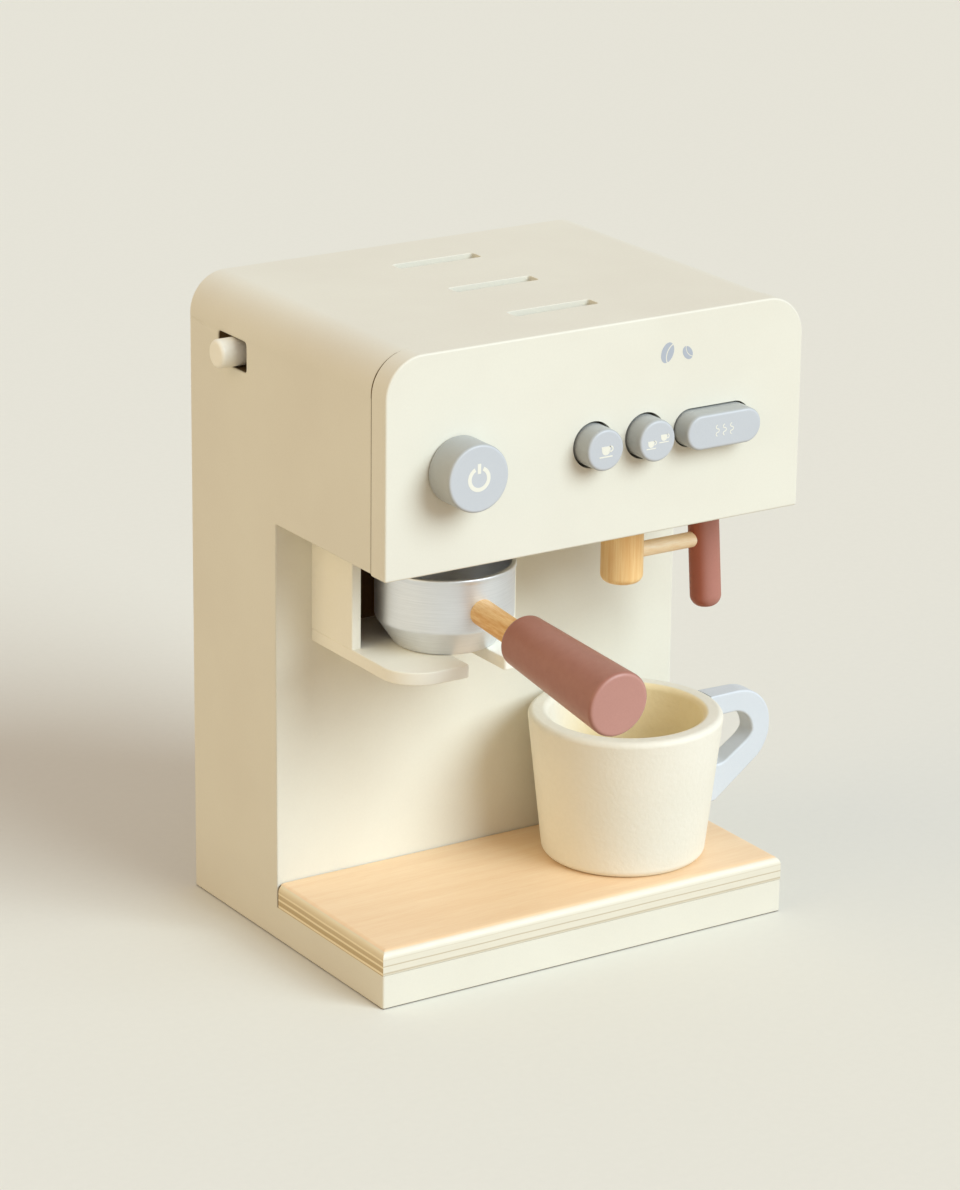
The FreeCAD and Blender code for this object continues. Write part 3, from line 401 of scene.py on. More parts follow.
# %% Materials: the paints
def linear(red, green, blue):
    """A screen colour from 0 to 255 as a linear colour."""
    def one(value):
        value /= 255.0
        return value / 12.92 if value <= 0.04045 else ((value + 0.055) / 1.055) ** 2.4
    return (one(red), one(green), one(blue), 1.0)


def new_material(name):
    """An empty material: itself, its tree, its shader and the piece's own coordinates."""
    material = bpy.data.materials.new(name)
    material.use_nodes = True
    tree = material.node_tree
    coordinates = tree.nodes.new("ShaderNodeTexCoord").outputs
    return material, tree, tree.nodes["Principled BSDF"], coordinates


def coat(piece, finish):
    """Give a piece one material in place of those that it has."""
    piece.data.materials.clear()
    piece.data.materials.append(finish)


def use_group(tree, group, vector, values):
    """The outputs of a node group on a vector socket, with its other inputs set."""
    node = tree.nodes.new("ShaderNodeGroup")
    node.node_tree = group
    tree.links.new(vector, node.inputs["Coordinates"])
    for label, value in values.items():
        node.inputs[label].default_value = value
    return node.outputs


def finish_shader(tree, shader, colour, roughness, specular, height, bump):
    """Set a shader's colour, roughness and specular level, and its bump from a height in metres."""
    feed(tree, shader.inputs["Base Color"], colour)
    feed(tree, shader.inputs["Roughness"], roughness)
    shader.inputs["Specular IOR Level"].default_value = specular
    relief = tree.nodes.new("ShaderNodeBump")
    relief.inputs["Distance"].default_value = bump
    relief.inputs["Strength"].default_value = 1.0
    feed(tree, relief.inputs["Height"], height)
    feed(tree, shader.inputs["Normal"], relief.outputs["Normal"])


def paint_on(tree, coordinates, base, drifted, skin_scale, rough):
    """The outputs of the sprayed paint group."""
    return use_group(tree, paint, coordinates["Object"],
                     {"Base": base, "Drift": drifted, "Skin Scale": skin_scale,
                      "Roughness Low": rough[0], "Roughness High": rough[1]})


def painted(name, base, drifted, skin_scale, rough, bump=0.00002, specular=0.45, shade_flank=None):
    """A painted finish from the sprayed paint group. A shade flank colour goes where a piece looks aside:
    painted shade on its sides.
    """
    material, tree, shader, coordinates = new_material(name)
    skin = paint_on(tree, coordinates, linear(*base), linear(*drifted), skin_scale, rough)
    colour = skin["Colour"]
    if shade_flank:
        # Painted shade: faces that look aside take the darker flank colour, and faces that look to the front
        # keep the base.
        aside = spread(tree, parts(tree, coordinates["Normal"])["Y"], -0.9, -0.6, 0.0, 1.0)
        mottle = noise(tree, coordinates["Object"], 260.0, 3.0, 0.6)
        colour = mix_colour(tree, aside, colour, two_tone(tree, mottle, *shade_flank))
    finish_shader(tree, shader, colour, skin["Roughness"], specular, skin["Height"], bump)
    return material


def body_cream(name):
    """The cream paint of the body."""
    return painted(name, (231, 228, 213), (227, 223, 208), 1100.0, (0.5, 0.58), 0.000018, 0.35)


def lightened_bracket_cream(name):
    """The cream paint of the bracket, made paler than the body's as painted light, because the bracket sits in
    the shade of the housing.
    """
    return painted(name, (249, 246, 233), (244, 241, 227), 1000.0, (0.5, 0.6), 0.00003)


cream, slot_shaded_cream, column_cream = (body_cream("cream paint" + where)
                                   for where in ("", " with a shaded slot", " on the column"))
# The fork and the cheeks take the paler cream as painted light.
fork_cream, cheek_cream = (lightened_bracket_cream("cream paint on the " + where) for where in ("fork", "cheeks"))
# In the grey-blue and red-brown paints the last pair of colours is painted shade on the sides that look aside.
grey_blue = painted("grey-blue paint", (199, 203, 207), (194, 198, 203), 1200.0, (0.38, 0.47), 0.000022, 0.45,
                    ((181, 184, 183), (174, 177, 175)))
pale_blue = painted("pale blue paint", (214, 219, 223), (208, 213, 218), 1000.0, (0.40, 0.5), 0.000022)
terracotta = painted("red-brown paint", (192, 141, 130), (184, 133, 122), 1400.0, (0.38, 0.46), 0.00002, 0.5,
                     ((166, 113, 97), (152, 98, 82)))
# The wand's paint is the red-brown paint made darker and redder as painted shade under the housing, with a
# darker flank as more painted shade.
wand_shaded_red = painted("red-brown paint darkened as the wand's shade", (177, 119, 105), (169, 111, 97), 1400.0, (0.42, 0.5),
                   0.00002, 0.4, ((168, 94, 72), (158, 84, 62)))
peg_cream = painted("cream paint on the peg", (251, 249, 237), (247, 245, 231), 900.0, (0.4, 0.5))
mark_cream = painted("cream printing ink", (238, 236, 222), (232, 230, 216), 1500.0, (0.45, 0.55), 0.00001)
mark_grey = painted("grey printing ink", (180, 186, 196), (174, 180, 190), 1500.0, (0.45, 0.55), 0.00001)
print("paints:", len(bpy.data.materials))

# %% [markdown]
# Some faces carry painted shade: in the seam behind the front panel, with dust, as a contact shadow along the
# foot, on the walls of the side slot and in the recess inside the bracket. Each is a mask from place and
# facing.

# %% Dark places on the paint
fork_low, fork_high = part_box("fork_plate")
fork_middle = centre("fork_plate").x
seam_low, seam_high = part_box("fascia_board")
slider_low, slider_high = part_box("side_peg")
side_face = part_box("side_board_left")[0].x
RECESS_HALF, SLOT_HALF, LINE_HALF = 31.9 * MM, 10.9 * MM, 0.5 * MM
# The brown of the painted shade inside the bracket, and the half width of that shaded recess.
RECESS_SHADE_BROWN = linear(112, 82, 50)


def shade_where(material, mask_of, dark):
    """Put a dark, faintly mottled colour over a finish where a mask is 1: painted shade, with dust in the seam.
    """
    tree = material.node_tree
    base_colour = tree.nodes["Principled BSDF"].inputs["Base Color"]
    coordinates = next(node for node in tree.nodes if node.type == "TEX_COORD").outputs
    under = base_colour.links[0].from_socket
    paler = tuple(channel * 1.35 for channel in dark[:3]) + (1.0,)
    grime_and_shade = mix_colour(tree, noise(tree, coordinates["Object"], 900.0), dark, paler)
    place, facing = parts(tree, coordinates["Object"]), parts(tree, coordinates["Normal"])
    tree.links.new(mix_colour(tree, mask_of(tree, place, facing), under, grime_and_shade), base_colour)


def near(tree, value, middle, half):
    """A mask that is 1 within a distance of a middle, and soft for a tenth of a millimetre."""
    off = maths(tree, "ABSOLUTE", maths(tree, "SUBTRACT", value, middle))
    return spread(tree, off, half - 0.0001, half, 1.0, 0.0)


def seam_shade_mask(tree, place, facing):
    """Dust and painted shade in the seam behind the front panel, where a face looks aside or down, and a
    painted contact shadow along the foot.
    """
    below = spread(tree, facing["Z"], 0.5, 0.8, 1.0, 0.0)
    upstairs = spread(tree, place["Z"], seam_low.z - 0.002, seam_low.z - 0.001, 0.0, 1.0)
    seam = maths(tree, "MULTIPLY", near(tree, place["Y"], seam_high.y - 0.0001, LINE_HALF), below)
    # A painted contact shadow along the foot, where the boards stand on the floor.
    foot = near(tree, place["Z"], 0.0, LINE_HALF)
    return maths(tree, "MAXIMUM", maths(tree, "MULTIPLY", seam, upstairs), foot)


def slot_shade_mask(tree, place, facing):
    """The seam, and painted shade on the walls of the side slot below the outer face."""
    middle = centre("side_peg")
    level = near(tree, place["Z"], middle.z, (slider_high.z - slider_low.z) / 2 + 0.0008)
    along_slot = near(tree, place["Y"], middle.y, SLOT_HALF)
    deep = spread(tree, place["X"], side_face + 0.0002, side_face + 0.0008, 0.0, 1.0)
    walls = maths(tree, "MULTIPLY", maths(tree, "MULTIPLY", level, along_slot), deep)
    return maths(tree, "MAXIMUM", walls, seam_shade_mask(tree, place, facing))


def recess_shade_mask(tree, place, facing):
    """Painted shade on the part of the column behind the bowl, between the cheeks of the bracket."""
    above = spread(tree, place["Z"], fork_high.z, fork_high.z + 0.0001, 0.0, 1.0)
    return maths(tree, "MULTIPLY", near(tree, place["X"], fork_middle, RECESS_HALF), above)


def inward_shade_mask(tree, place, facing):
    """Painted shade on the inner faces of the cheeks, which look at the middle of the bracket."""
    inward = maths(tree, "MULTIPLY", maths(tree, "SUBTRACT", fork_middle, place["X"]), facing["X"])
    return spread(tree, inward, 0.024, 0.028, 0.0, 1.0)


# Painted shade: the recess of the column and the inner faces of the cheeks are darkened to brown.
shade_where(column_cream, recess_shade_mask, RECESS_SHADE_BROWN)
shade_where(cheek_cream, inward_shade_mask, RECESS_SHADE_BROWN)
# Dust and painted shade in the seam, and a painted contact shadow along the foot.
shade_where(cream, seam_shade_mask, linear(104, 84, 52))
# Painted shade on the walls of the side slot.
shade_where(slot_shaded_cream, slot_shade_mask, linear(92, 72, 42))

# %% [markdown]
# Bare timber shows long fibres along the dowel or the board, darker growth lines and tiny pores.
# Noise that is stretched along one axis gives all three. The Mapping node in each material turns
# the fibres to the way that the piece was cut.

# %% Node group: timber grain
timber, given, result = group_with("timber grain", {
    "Coordinates": "Vector", "Pale": "Color", "Dark": "Color", "Contrast": "Float"})
growth = noise(timber, given["Coordinates"], 1.0, 4.0, 0.55)
fibres = noise(timber, stretched(timber, given["Coordinates"], (6.0, 6.0, 2.0)), 1.6, 3.0, 0.6)
bands = spread(timber, growth, 0.38, 0.64, 0.0, 0.7)
threads = spread(timber, fibres, 0.40, 0.66, 0.0, 0.45)
both = maths(timber, "MULTIPLY", maths(timber, "ADD", bands, threads), given["Contrast"])
feed(timber, result["Colour"], mix_colour(timber, both, given["Pale"], given["Dark"]))
feed(timber, result["Roughness"], spread(timber, fibres, 0.3, 0.7, 0.38, 0.52))
feed(timber, result["Height"], fibres)
print("group:", timber.name)


# %% Materials: dowels and plain boards
def wooden(name, pale, dark, scale, contrast=1.0, bump=0.00003):
    """A timber finish. The scale is small along the fibres and large across them."""
    material, tree, shader, coordinates = new_material(name)
    wood = use_group(tree, timber, stretched(tree, coordinates["Object"], scale),
                     {"Pale": linear(*pale), "Dark": linear(*dark), "Contrast": contrast})
    finish_shader(tree, shader, wood["Colour"], wood["Roughness"], 0.4, wood["Height"], bump)
    return material


maple_up = wooden("maple, fibres upright", (254, 220, 160), (238, 188, 122), (330.0, 330.0, 22.0))
maple_across = wooden("pale maple, fibres across", (255, 238, 206), (246, 214, 166), (22.0, 330.0, 330.0))
maple_out = wooden("maple, fibres outward", (243, 204, 146), (222, 168, 100), (330.0, 22.0, 330.0), 1.3)
bare_pine = wooden("bare pine", (222, 190, 142), (198, 160, 108), (260.0, 260.0, 18.0))
fibreboard = wooden("fibreboard", (190, 160, 122), (172, 140, 102), (300.0, 300.0, 300.0), 0.6)

# %% [markdown]
# The cup is dipped in thick paint that dried with a skin like an orange. Inside, on the handle's
# side, a yellower colour is painted warm shade, as light bounced round the cup would colour it. The inside is
# where a face looks towards the cup's own axis, so a mask compares the way out from the axis with the way that
# the face looks.

# %% Material: cup paint
def cup_paint(name, axis_x, axis_y):
    """Rough cream paint with painted warm shade inside on the handle's side, for a cup about an upright axis.
    """
    material, tree, shader, coordinates = new_material(name)
    skin = paint_on(tree, coordinates, linear(238, 233, 218), linear(232, 227, 211), 540.0, (0.55, 0.66))
    outward = vector_maths(tree, "SUBTRACT", coordinates["Object"], (axis_x, axis_y, 0.0))
    level = vector_maths(tree, "MULTIPLY", outward, (1.0, 1.0, 0.0))
    compare = vector_maths(tree, "DOT_PRODUCT", level, coordinates["Normal"])
    inside = spread(tree, compare, -0.014, -0.004, 1.0, 0.0)
    # Painted warm shade: the inside on the handle's side is made yellower, as bounced light would colour it.
    warm_shade_side = spread(tree, parts(tree, level)["X"], -0.018, 0.004, 0.0, 1.0)
    mottle = noise(tree, coordinates["Object"], 240.0, 3.0, 0.6)
    bounce_shade_lining = two_tone(tree, mottle, (249, 231, 187), (243, 223, 176))
    colour = mix_colour(tree, maths(tree, "MULTIPLY", inside, warm_shade_side), skin["Colour"], bounce_shade_lining)
    finish_shader(tree, shader, colour, skin["Roughness"], 0.4, skin["Height"], 0.00014)
    return material


cup_middle = centre("cup_body")
cup_cream = cup_paint("cream paint, thick and rough", cup_middle.x, cup_middle.y)

# %% [markdown]
# The tray is birch plywood: thin layers whose fibres cross each other, under a clear varnish.
# On the sides, the layers that end there are broad brown bands. On the front the same layers run
# along, and only thin glue lines show. Both are read from the height on the board.

# %% Stripes of the plywood
SIDE_BANDS = [(0.0, 1.0), (0.03, 1.0), (0.045, 0.0), (0.12, 0.0), (0.14, 1.0), (0.31, 0.9), (0.33, 0.0),
              (0.395, 0.0), (0.415, 0.85), (0.575, 0.75), (0.595, 0.0), (0.655, 0.0), (0.675, 0.5),
              (0.80, 0.35), (0.90, 0.1)]
FRONT_LINES = [(0.0, 0.3), (0.06, 0.3), (0.09, 0.9), (0.15, 0.0), (0.36, 0.0), (0.395, 1.0), (0.43, 0.0),
               (0.63, 0.0), (0.66, 0.3), (0.69, 0.0)]


def stripes_by_height(tree, share, stops):
    """A mask that goes between 0 and 1 at the given shares of a board's height."""
    ramp_node = tree.nodes.new("ShaderNodeValToRGB")
    ramp = ramp_node.color_ramp
    while len(ramp.elements) < len(stops):
        ramp.elements.new(0.5)
    for element, (position, value) in zip(ramp.elements, stops):
        element.position = position
        element.color = (value, value, value, 1.0)
    tree.links.new(share, ramp_node.inputs["Fac"])
    return ramp_node.outputs["Color"]


# %% Material: varnished plywood
def plywood(name, bottom, top, rear):
    """Layered board whose stripes follow its height, in metres, with a dark joint at its rear."""
    material, tree, shader, coordinates = new_material(name)
    own = coordinates["Object"]
    place, facing = parts(tree, own), parts(tree, coordinates["Normal"])
    shaken = maths(tree, "MULTIPLY_ADD", noise(tree, own, 45.0, 2.0), 0.0003, place["Z"])
    share = spread(tree, shaken, bottom + 0.00015, top + 0.00015, 0.0, 1.0)
    sideways = spread(tree, maths(tree, "ABSOLUTE", facing["X"]), 0.35, 0.75, 0.0, 1.0)
    edge_noise = noise(tree, stretched(tree, own, (60.0, 60.0, 900.0)), 1.0, 4.0, 0.6)
    pores = noise(tree, own, 1500.0, 2.0, 0.7)
    pale = two_tone(tree, edge_noise, (232, 227, 210), (224, 217, 197))
    thin_pale = two_tone(tree, edge_noise, (250, 238, 206), (240, 224, 186))
    brown = two_tone(tree, pores, (184, 156, 106), (204, 184, 140))
    tan = two_tone(tree, edge_noise, (182, 164, 132), (198, 182, 152))
    front_edge = mix_colour(tree, stripes_by_height(tree, share, FRONT_LINES), pale, tan)
    side_edge = mix_colour(tree, stripes_by_height(tree, share, SIDE_BANDS), thin_pale, brown)
    edge = mix_colour(tree, sideways, front_edge, side_edge)
    edge = mix_colour(tree, near(tree, place["Y"], rear, 0.0006), edge, linear(112, 90, 58))
    veneer = use_group(tree, timber, stretched(tree, own, (14.0, 210.0, 210.0)),
                       {"Pale": linear(248, 219, 180), "Dark": linear(240, 204, 161), "Contrast": 0.7})
    upper = spread(tree, place["Z"], top - 0.0007, top - 0.0004, 0.0, 1.0)
    relief = maths(tree, "MULTIPLY_ADD", pores, 0.3, veneer["Height"])
    finish_shader(tree, shader, mix_colour(tree, upper, edge, veneer["Colour"]), veneer["Roughness"], 0.5,
                  relief, 0.00002)
    shader.inputs["Coat Weight"].default_value = 0.1
    shader.inputs["Coat Roughness"].default_value = 0.4
    return material


tray_low, tray_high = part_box("tray_board")
tray_ply = plywood("varnished birch plywood", tray_low.z, tray_high.z, tray_high.y)

# %% [markdown]
# The bowl is sheet metal, brushed round and round, so its scratches are long and level.
# Noise that is squeezed in height draws them, in the colour, in the roughness and in the bump.

# %% Materials: metals and plastics
def brushed(name, bright, dark, scale, rough=(0.28, 0.46), bump=0.000012):
    """Brushed metal with scratches along the axes that have a small scale."""
    material, tree, shader, coordinates = new_material(name)
    scratches = noise(tree, stretched(tree, coordinates["Object"], scale), 1.0, 5.0, 0.65)
    blotches = noise(tree, coordinates["Object"], 90.0)
    shade = maths(tree, "ADD", spread(tree, scratches, 0.35, 0.65, 0.0, 0.7),
                  spread(tree, blotches, 0.35, 0.65, 0.0, 0.3))
    finish_shader(tree, shader, mix_colour(tree, shade, linear(*bright), linear(*dark)),
                  spread(tree, scratches, 0.3, 0.7, rough[0], rough[1]), 0.5, scratches, bump)
    shader.inputs["Metallic"].default_value = 1.0
    return material


bowl_metal = brushed("brushed aluminium", (231, 233, 237), (219, 221, 225), (60.0, 60.0, 3600.0),
                     (0.40, 0.50))
screw_steel = brushed("zinc-plated steel", (200, 200, 200), (160, 160, 162), (900.0, 900.0, 900.0))
wire_steel = brushed("spring wire", (176, 176, 178), (130, 130, 134), (700.0, 700.0, 700.0))
black_plastic = painted("dark plastic", (62, 62, 64), (54, 54, 56), 1600.0, (0.4, 0.5), 0.00001)
print("materials:", len(bpy.data.materials))

# %% [markdown]
# Each node of the frame takes the finish that the record names for it.
# Most of the boards keep their shape from the frame: they are square, and only their skin changes.

# %% Dress the nodes of the frame
finish_of_slot = {
    "cream_paint": cream,
    "column_paint": column_cream,
    "inner_board": fibreboard,
    "fork_paint": fork_cream,
    "tray_plywood": tray_ply,
    "button_paint": grey_blue,
    "peg_paint": peg_cream,
    "maple": maple_up,
    "pin_wood": bare_pine,
    "washer_plastic": black_plastic,
    "screw_steel": screw_steel,
    "spring_steel": wire_steel,
    "bowl_metal": bowl_metal,
    "terracotta_paint": terracotta,
    "cup_paint": cup_cream,
    "cup_handle_paint": pale_blue,
}
slot_of_node = {entry["node"]: entry["material_slot"] for entry in frame["record"]["subparts"]}
painted_all_round = ("base_board", "back_board", "housing_floor", "slider_block")
for name, node in nodes.items():
    coat(node, cream if name in painted_all_round else finish_of_slot[slot_of_node[name]])
coat(nodes["steam_peg"], maple_across)
print("dressed", len(nodes), "nodes")


def hand_over(piece, finish, body, node, angle=32.0):
    """Finish a new piece: its material, its smoothness, its body and the node that it replaces."""
    coat(piece, finish)
    smooth(piece, angle)
    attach(piece, body)
    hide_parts(node)
    triangles = sum(len(face.vertices) - 2 for face in piece.data.polygons)
    print("%s: %d triangles" % (piece.name, triangles))
    return piece


# %% [markdown]
# The front panel is the face of the toy. It is one board with two large round corners on top,
# a soft edge all round, and four openings for the knob and the buttons.

# %% Front panel
GAP, LAND, CORNER = 0.5 * MM, 1.6 * MM, 15.5 * MM
ROOM = {"knob_spindle": 0.05 * MM, "button_single": 0.9 * MM, "button_double": 0.9 * MM}
LONG_ROOM = 0.6 * MM
fascia_low, fascia_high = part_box("fascia_board")
knob_x, control_level = centre("knob").x, centre("knob").z


def front_board(name, low, high, radius):
    """A board with two large round upper corners."""
    piece = board(name, low, high)
    round_edges(piece, along(1, lambda point: point.z > high[2] - CLOSE), radius, 24)
    return piece


def cut_controls(piece):
    """Cut the openings for the knob's spindle, the round buttons and the long one."""
    for node, room in ROOM.items():
        low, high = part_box(node)
        radius = (high.x - low.x) / 2 + room
        cutter = turned(node + "_cutter", [(-0.02, radius), (0.02, radius)], 96)
        place = (centre(node).x, centre("fascia_board").y, control_level)
        cut_out(piece, stand(cutter, place, FORWARD))
    low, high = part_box("button_long")
    cut_out(piece, obround("long_cutter", (low.x - LONG_ROOM, -0.09, low.z - LONG_ROOM),
                           (high.x + LONG_ROOM, -0.04, high.z + LONG_ROOM)))


panel = front_board("front_panel", fascia_low, (fascia_high.x, fascia_high.y - GAP, fascia_high.z), CORNER)
ease(panel, 0.8 * MM, 4)
cut_controls(panel)
ease(panel, 0.3 * MM, 2, 50.0)
land = front_board("front_panel_land",
                   (fascia_low.x + LAND, fascia_high.y - GAP - 0.1 * MM, fascia_low.z + LAND),
                   (fascia_high.x - LAND, fascia_high.y, fascia_high.z - LAND), CORNER - LAND)
cut_controls(land)
pick(panel)
land.select_set(True)
bpy.ops.object.join()
hand_over(panel, cream, "machine", "fascia_board")

# %% [markdown]
# The top board carries the same large radius along both sides, so light runs down it softly.
# Its three slots are milled right through, and their rims are only broken with sandpaper.

# %% Top board
top_low, top_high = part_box("top_board")
lid = board("top_shell", top_low, top_high)
round_edges(lid, along(1, lambda p: p.z > top_high.z - CLOSE), 15.0 * MM, 28)
round_edges(lid, lambda a, b: min(a.y, b.y) > top_high.y - SAME and max(a.z, b.z) > top_low.z + CLOSE,
            0.6 * MM, 3)
SLOT_LENGTH, SLOT_WIDTH, SLOT_PITCH = 36.0 * MM, 6.7 * MM, 39.6 * MM


def slot_rim(point):
    """True for a point on the rim of one of the three slots."""
    nearest = min(abs(point.y - index * SLOT_PITCH) for index in (-1, 0, 1))
    return abs(point.x) < SLOT_LENGTH / 2 + CLOSE and nearest < SLOT_WIDTH / 2 + CLOSE


for index in (-1, 0, 1):
    middle = index * SLOT_PITCH
    cutter = board("slot_cutter", (-SLOT_LENGTH / 2, middle - SLOT_WIDTH / 2, top_low.z - 0.01),
                   (SLOT_LENGTH / 2, middle + SLOT_WIDTH / 2, top_high.z + 0.01))
    round_edges(cutter, along(2, lambda p: True), 1.2 * MM, 5)
    cut_out(lid, settle(cutter))
round_edges(lid, lambda a, b: min(a.z, b.z) > top_high.z - SAME and slot_rim(a) and slot_rim(b), 0.35 * MM, 2)
hand_over(lid, cream, "machine", "top_board")

# %% [markdown]
# Each side is one C-shaped board: a foot, a column and an overhang, sawn from a square board by
# two straight cuts. The outer edges are softened, but not those that meet the top board or the
# tray, because filler and paint make one skin there.

# %% Side boards
column_low, floor_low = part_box("column_board")[0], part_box("housing_floor")[0]
SIDE_SLOT_LENGTH, SIDE_SLOT_GAP = 20.7 * MM, 0.3 * MM
THROUGH = 0.01


def side_board(name, node, outer, finish, has_slot):
    """One side board in a finish, whose outer face lies at an x."""
    low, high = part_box(node)
    side = board(name, low, high)
    cut_out(side, board("bay_cutter", (low.x - THROUGH, low.y - THROUGH, tray_low.z),
                        (high.x + THROUGH, column_low.y, floor_low.z)))
    cut_out(side, board("front_cutter", (low.x - THROUGH, low.y - THROUGH, tray_low.z),
                        (high.x + THROUGH, top_low.y, high.z + THROUGH)))
    if has_slot:
        middle = centre("side_peg").y
        slot = board("side_slot_cutter",
                     (low.x - THROUGH, middle - SIDE_SLOT_LENGTH / 2, slider_low.z - SIDE_SLOT_GAP),
                     (high.x + THROUGH, middle + SIDE_SLOT_LENGTH / 2, slider_high.z + SIDE_SLOT_GAP))
        round_edges(slot, along(0, lambda point: True), 1.5 * MM, 6)
        cut_out(side, settle(slot))

    def on_rim(a, b):
        outside = abs(a.x - outer) < SAME and abs(b.x - outer) < SAME
        at_top = min(a.z, b.z) > high.z - SAME
        at_tray = max(abs(a.z - tray_low.z), abs(b.z - tray_low.z)) < SAME
        at_foot = max(a.z, b.z) < low.z + SAME and max(a.y, b.y) < low.y + SAME
        return at_foot or outside and not at_top and not at_tray

    round_edges(side, on_rim, 0.8 * MM, 3)
    hand_over(side, finish, "machine", node)


side_board("left_side", "side_board_left", side_face, slot_shaded_cream, True)
side_board("right_side", "side_board_right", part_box("side_board_right")[1].x, cream, False)

base_low, base_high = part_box("base_board")
base = board("base_plank", base_low, base_high)
round_edges(base, along(0, lambda point: point.z < base_low.z + SAME and point.y < base_low.y + SAME),
            0.8 * MM, 3)
hand_over(base, cream, "machine", "base_board")

# %% [markdown]
# The tray board is routed with a round-over along its top edges, so its layers show as stripes.

# %% Tray board
tray = board("tray_plywood", tray_low, tray_high)


def tray_rim(a, b):
    """The rim of the tray's top, without its edge against the column."""
    on_top = min(a.z, b.z) > tray_high.z - SAME
    at_column = min(a.y, b.y) > tray_high.y - SAME
    return on_top and not at_column


round_edges(tray, tray_rim, 3.2 * MM, 8)


def tray_corner(a, b):
    """The two front corners of the tray, down over the round-over."""
    def off_corner(point):
        return abs(abs(point.x) - tray_high.x) + abs(point.y - tray_low.y)
    def on_mitre(point):
        return abs(tray_high.x - abs(point.x) - (point.y - tray_low.y)) < CLOSE and off_corner(point) < 0.008
    return on_mitre(a) and on_mitre(b)


round_edges(tray, tray_corner, 0.3 * MM, 2)
hand_over(tray, tray_ply, "machine", "tray_board")

# %% [markdown]
# Knob and buttons are turned from dowel, and the front edge of each is just rounded off.
# That thin round catches the light as a bright rim, which is what makes them look solid.

# %% Knob and round push buttons
for node, body, rear_round, front_round in (("knob", "power_knob", 0.5 * MM, 1.1 * MM),
                                            ("button_single", "single_button", 0.4 * MM, 1.2 * MM),
                                            ("button_double", "double_button", 0.4 * MM, 1.2 * MM)):
    low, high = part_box(node)
    cap = dowel(node + "_cap", (high.x - low.x) / 2, high.y - low.y, (rear_round, 3), (front_round, 6))
    stand(cap, (centre(node).x, high.y, control_level), FORWARD)
    hand_over(cap, grey_blue, body, node)

# %% Long push button
long_low, long_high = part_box("button_long")
bar = obround("button_long_cap", long_low, long_high)
for face_y, width, steps in ((long_low.y, 1.2 * MM, 6), (long_high.y, 0.4 * MM, 3)):
    round_edges(bar, lambda a, b: abs(a.y - face_y) < SAME and abs(b.y - face_y) < SAME, width, steps)
hand_over(bar, grey_blue, "long_button", "button_long")

# %% [markdown]
# The bracket is a small shelf on two cheeks. The shelf has two large round corners and an open
# notch with round inner corners, and all its edges are sanded soft, because a hand slides there.

# %% Bracket
NOTCH_HALF, NOTCH_DEPTH = 7.5 * MM, 34.0 * MM
shelf = board("fork_shelf", fork_low, fork_high)
round_edges(shelf, along(2, lambda point: point.y < fork_low.y + CLOSE), 15.0 * MM, 20)
notch = board("notch_cutter", (fork_middle - NOTCH_HALF, fork_low.y - THROUGH, fork_low.z - THROUGH),
              (fork_middle + NOTCH_HALF, fork_low.y + NOTCH_DEPTH, fork_high.z + THROUGH))
round_edges(notch, along(2, lambda point: point.y > fork_low.y), 6.0 * MM, 12)
cut_out(shelf, settle(notch))
round_edges(shelf, along(2, lambda point: point.y < fork_low.y + CLOSE
                         and abs(point.x - fork_middle) < NOTCH_HALF + CLOSE), 1.2 * MM, 5)


def shelf_rim(a, b):
    """The upper and lower rims of the shelf, without the edges that meet the column."""
    level = max(abs(a.z - b.z), min(abs(a.z - fork_low.z), abs(a.z - fork_high.z))) < SAME
    return level and min(a.y, b.y) < fork_high.y - CLOSE


round_edges(shelf, shelf_rim, 0.5 * MM, 3)
hand_over(shelf, fork_cream, "machine", "fork_plate")
for node in ("bracket_cheek_left", "bracket_cheek_right"):
    low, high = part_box(node)
    cheek = board(node + "_board", low, high)
    round_edges(cheek, along(2, lambda point: point.y < low.y + CLOSE), 0.5 * MM, 3)
    hand_over(cheek, cheek_cream, "machine", node)

# %% [markdown]
# The bowl of the portafilter is spun from sheet: a cone at the foot, a straight wall and a thin lip.
# The wall is drawn up, folded over at the lip and drawn down again inside, so it has real thickness.

# %% Bowl
bowl_low, bowl_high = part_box("portafilter_bowl")
bowl_x, bowl_y, _ = centre("portafilter_bowl")
bowl_height = bowl_high.z - bowl_low.z
LIP, WALL, CONE = 26.5 * MM, 1.5 * MM, 10.4 * MM
wall = LIP - 0.5 * MM
foot = 19.0 * MM
bowl_rings = [(0.0, foot), (CONE, wall), (bowl_height - 2.6 * MM, wall), (bowl_height - 1.6 * MM, LIP),
              (bowl_height, LIP), (bowl_height, wall - WALL), (CONE + 0.6 * MM, wall - WALL),
              (WALL, foot - 0.6 * MM)]
bowl = turned("bowl_shell", bowl_rings, 160)
round_ring(bowl, 0.0, foot, 1.0 * MM, 4)
round_ring(bowl, CONE, wall, 0.6 * MM, 3)
round_ring(bowl, bowl_height, LIP, 0.6 * MM, 4)
round_ring(bowl, bowl_height, wall - WALL, 0.5 * MM, 4)
stand(bowl, (bowl_x, bowl_y, bowl_low.z))
hand_over(bowl, bowl_metal, "portafilter", "portafilter_bowl", 40.0)

# %% [markdown]
# The shaft and the handle share one axis that leans down a little towards the front.
# They are turned upright at first, and then laid over and set on the side of the bowl.

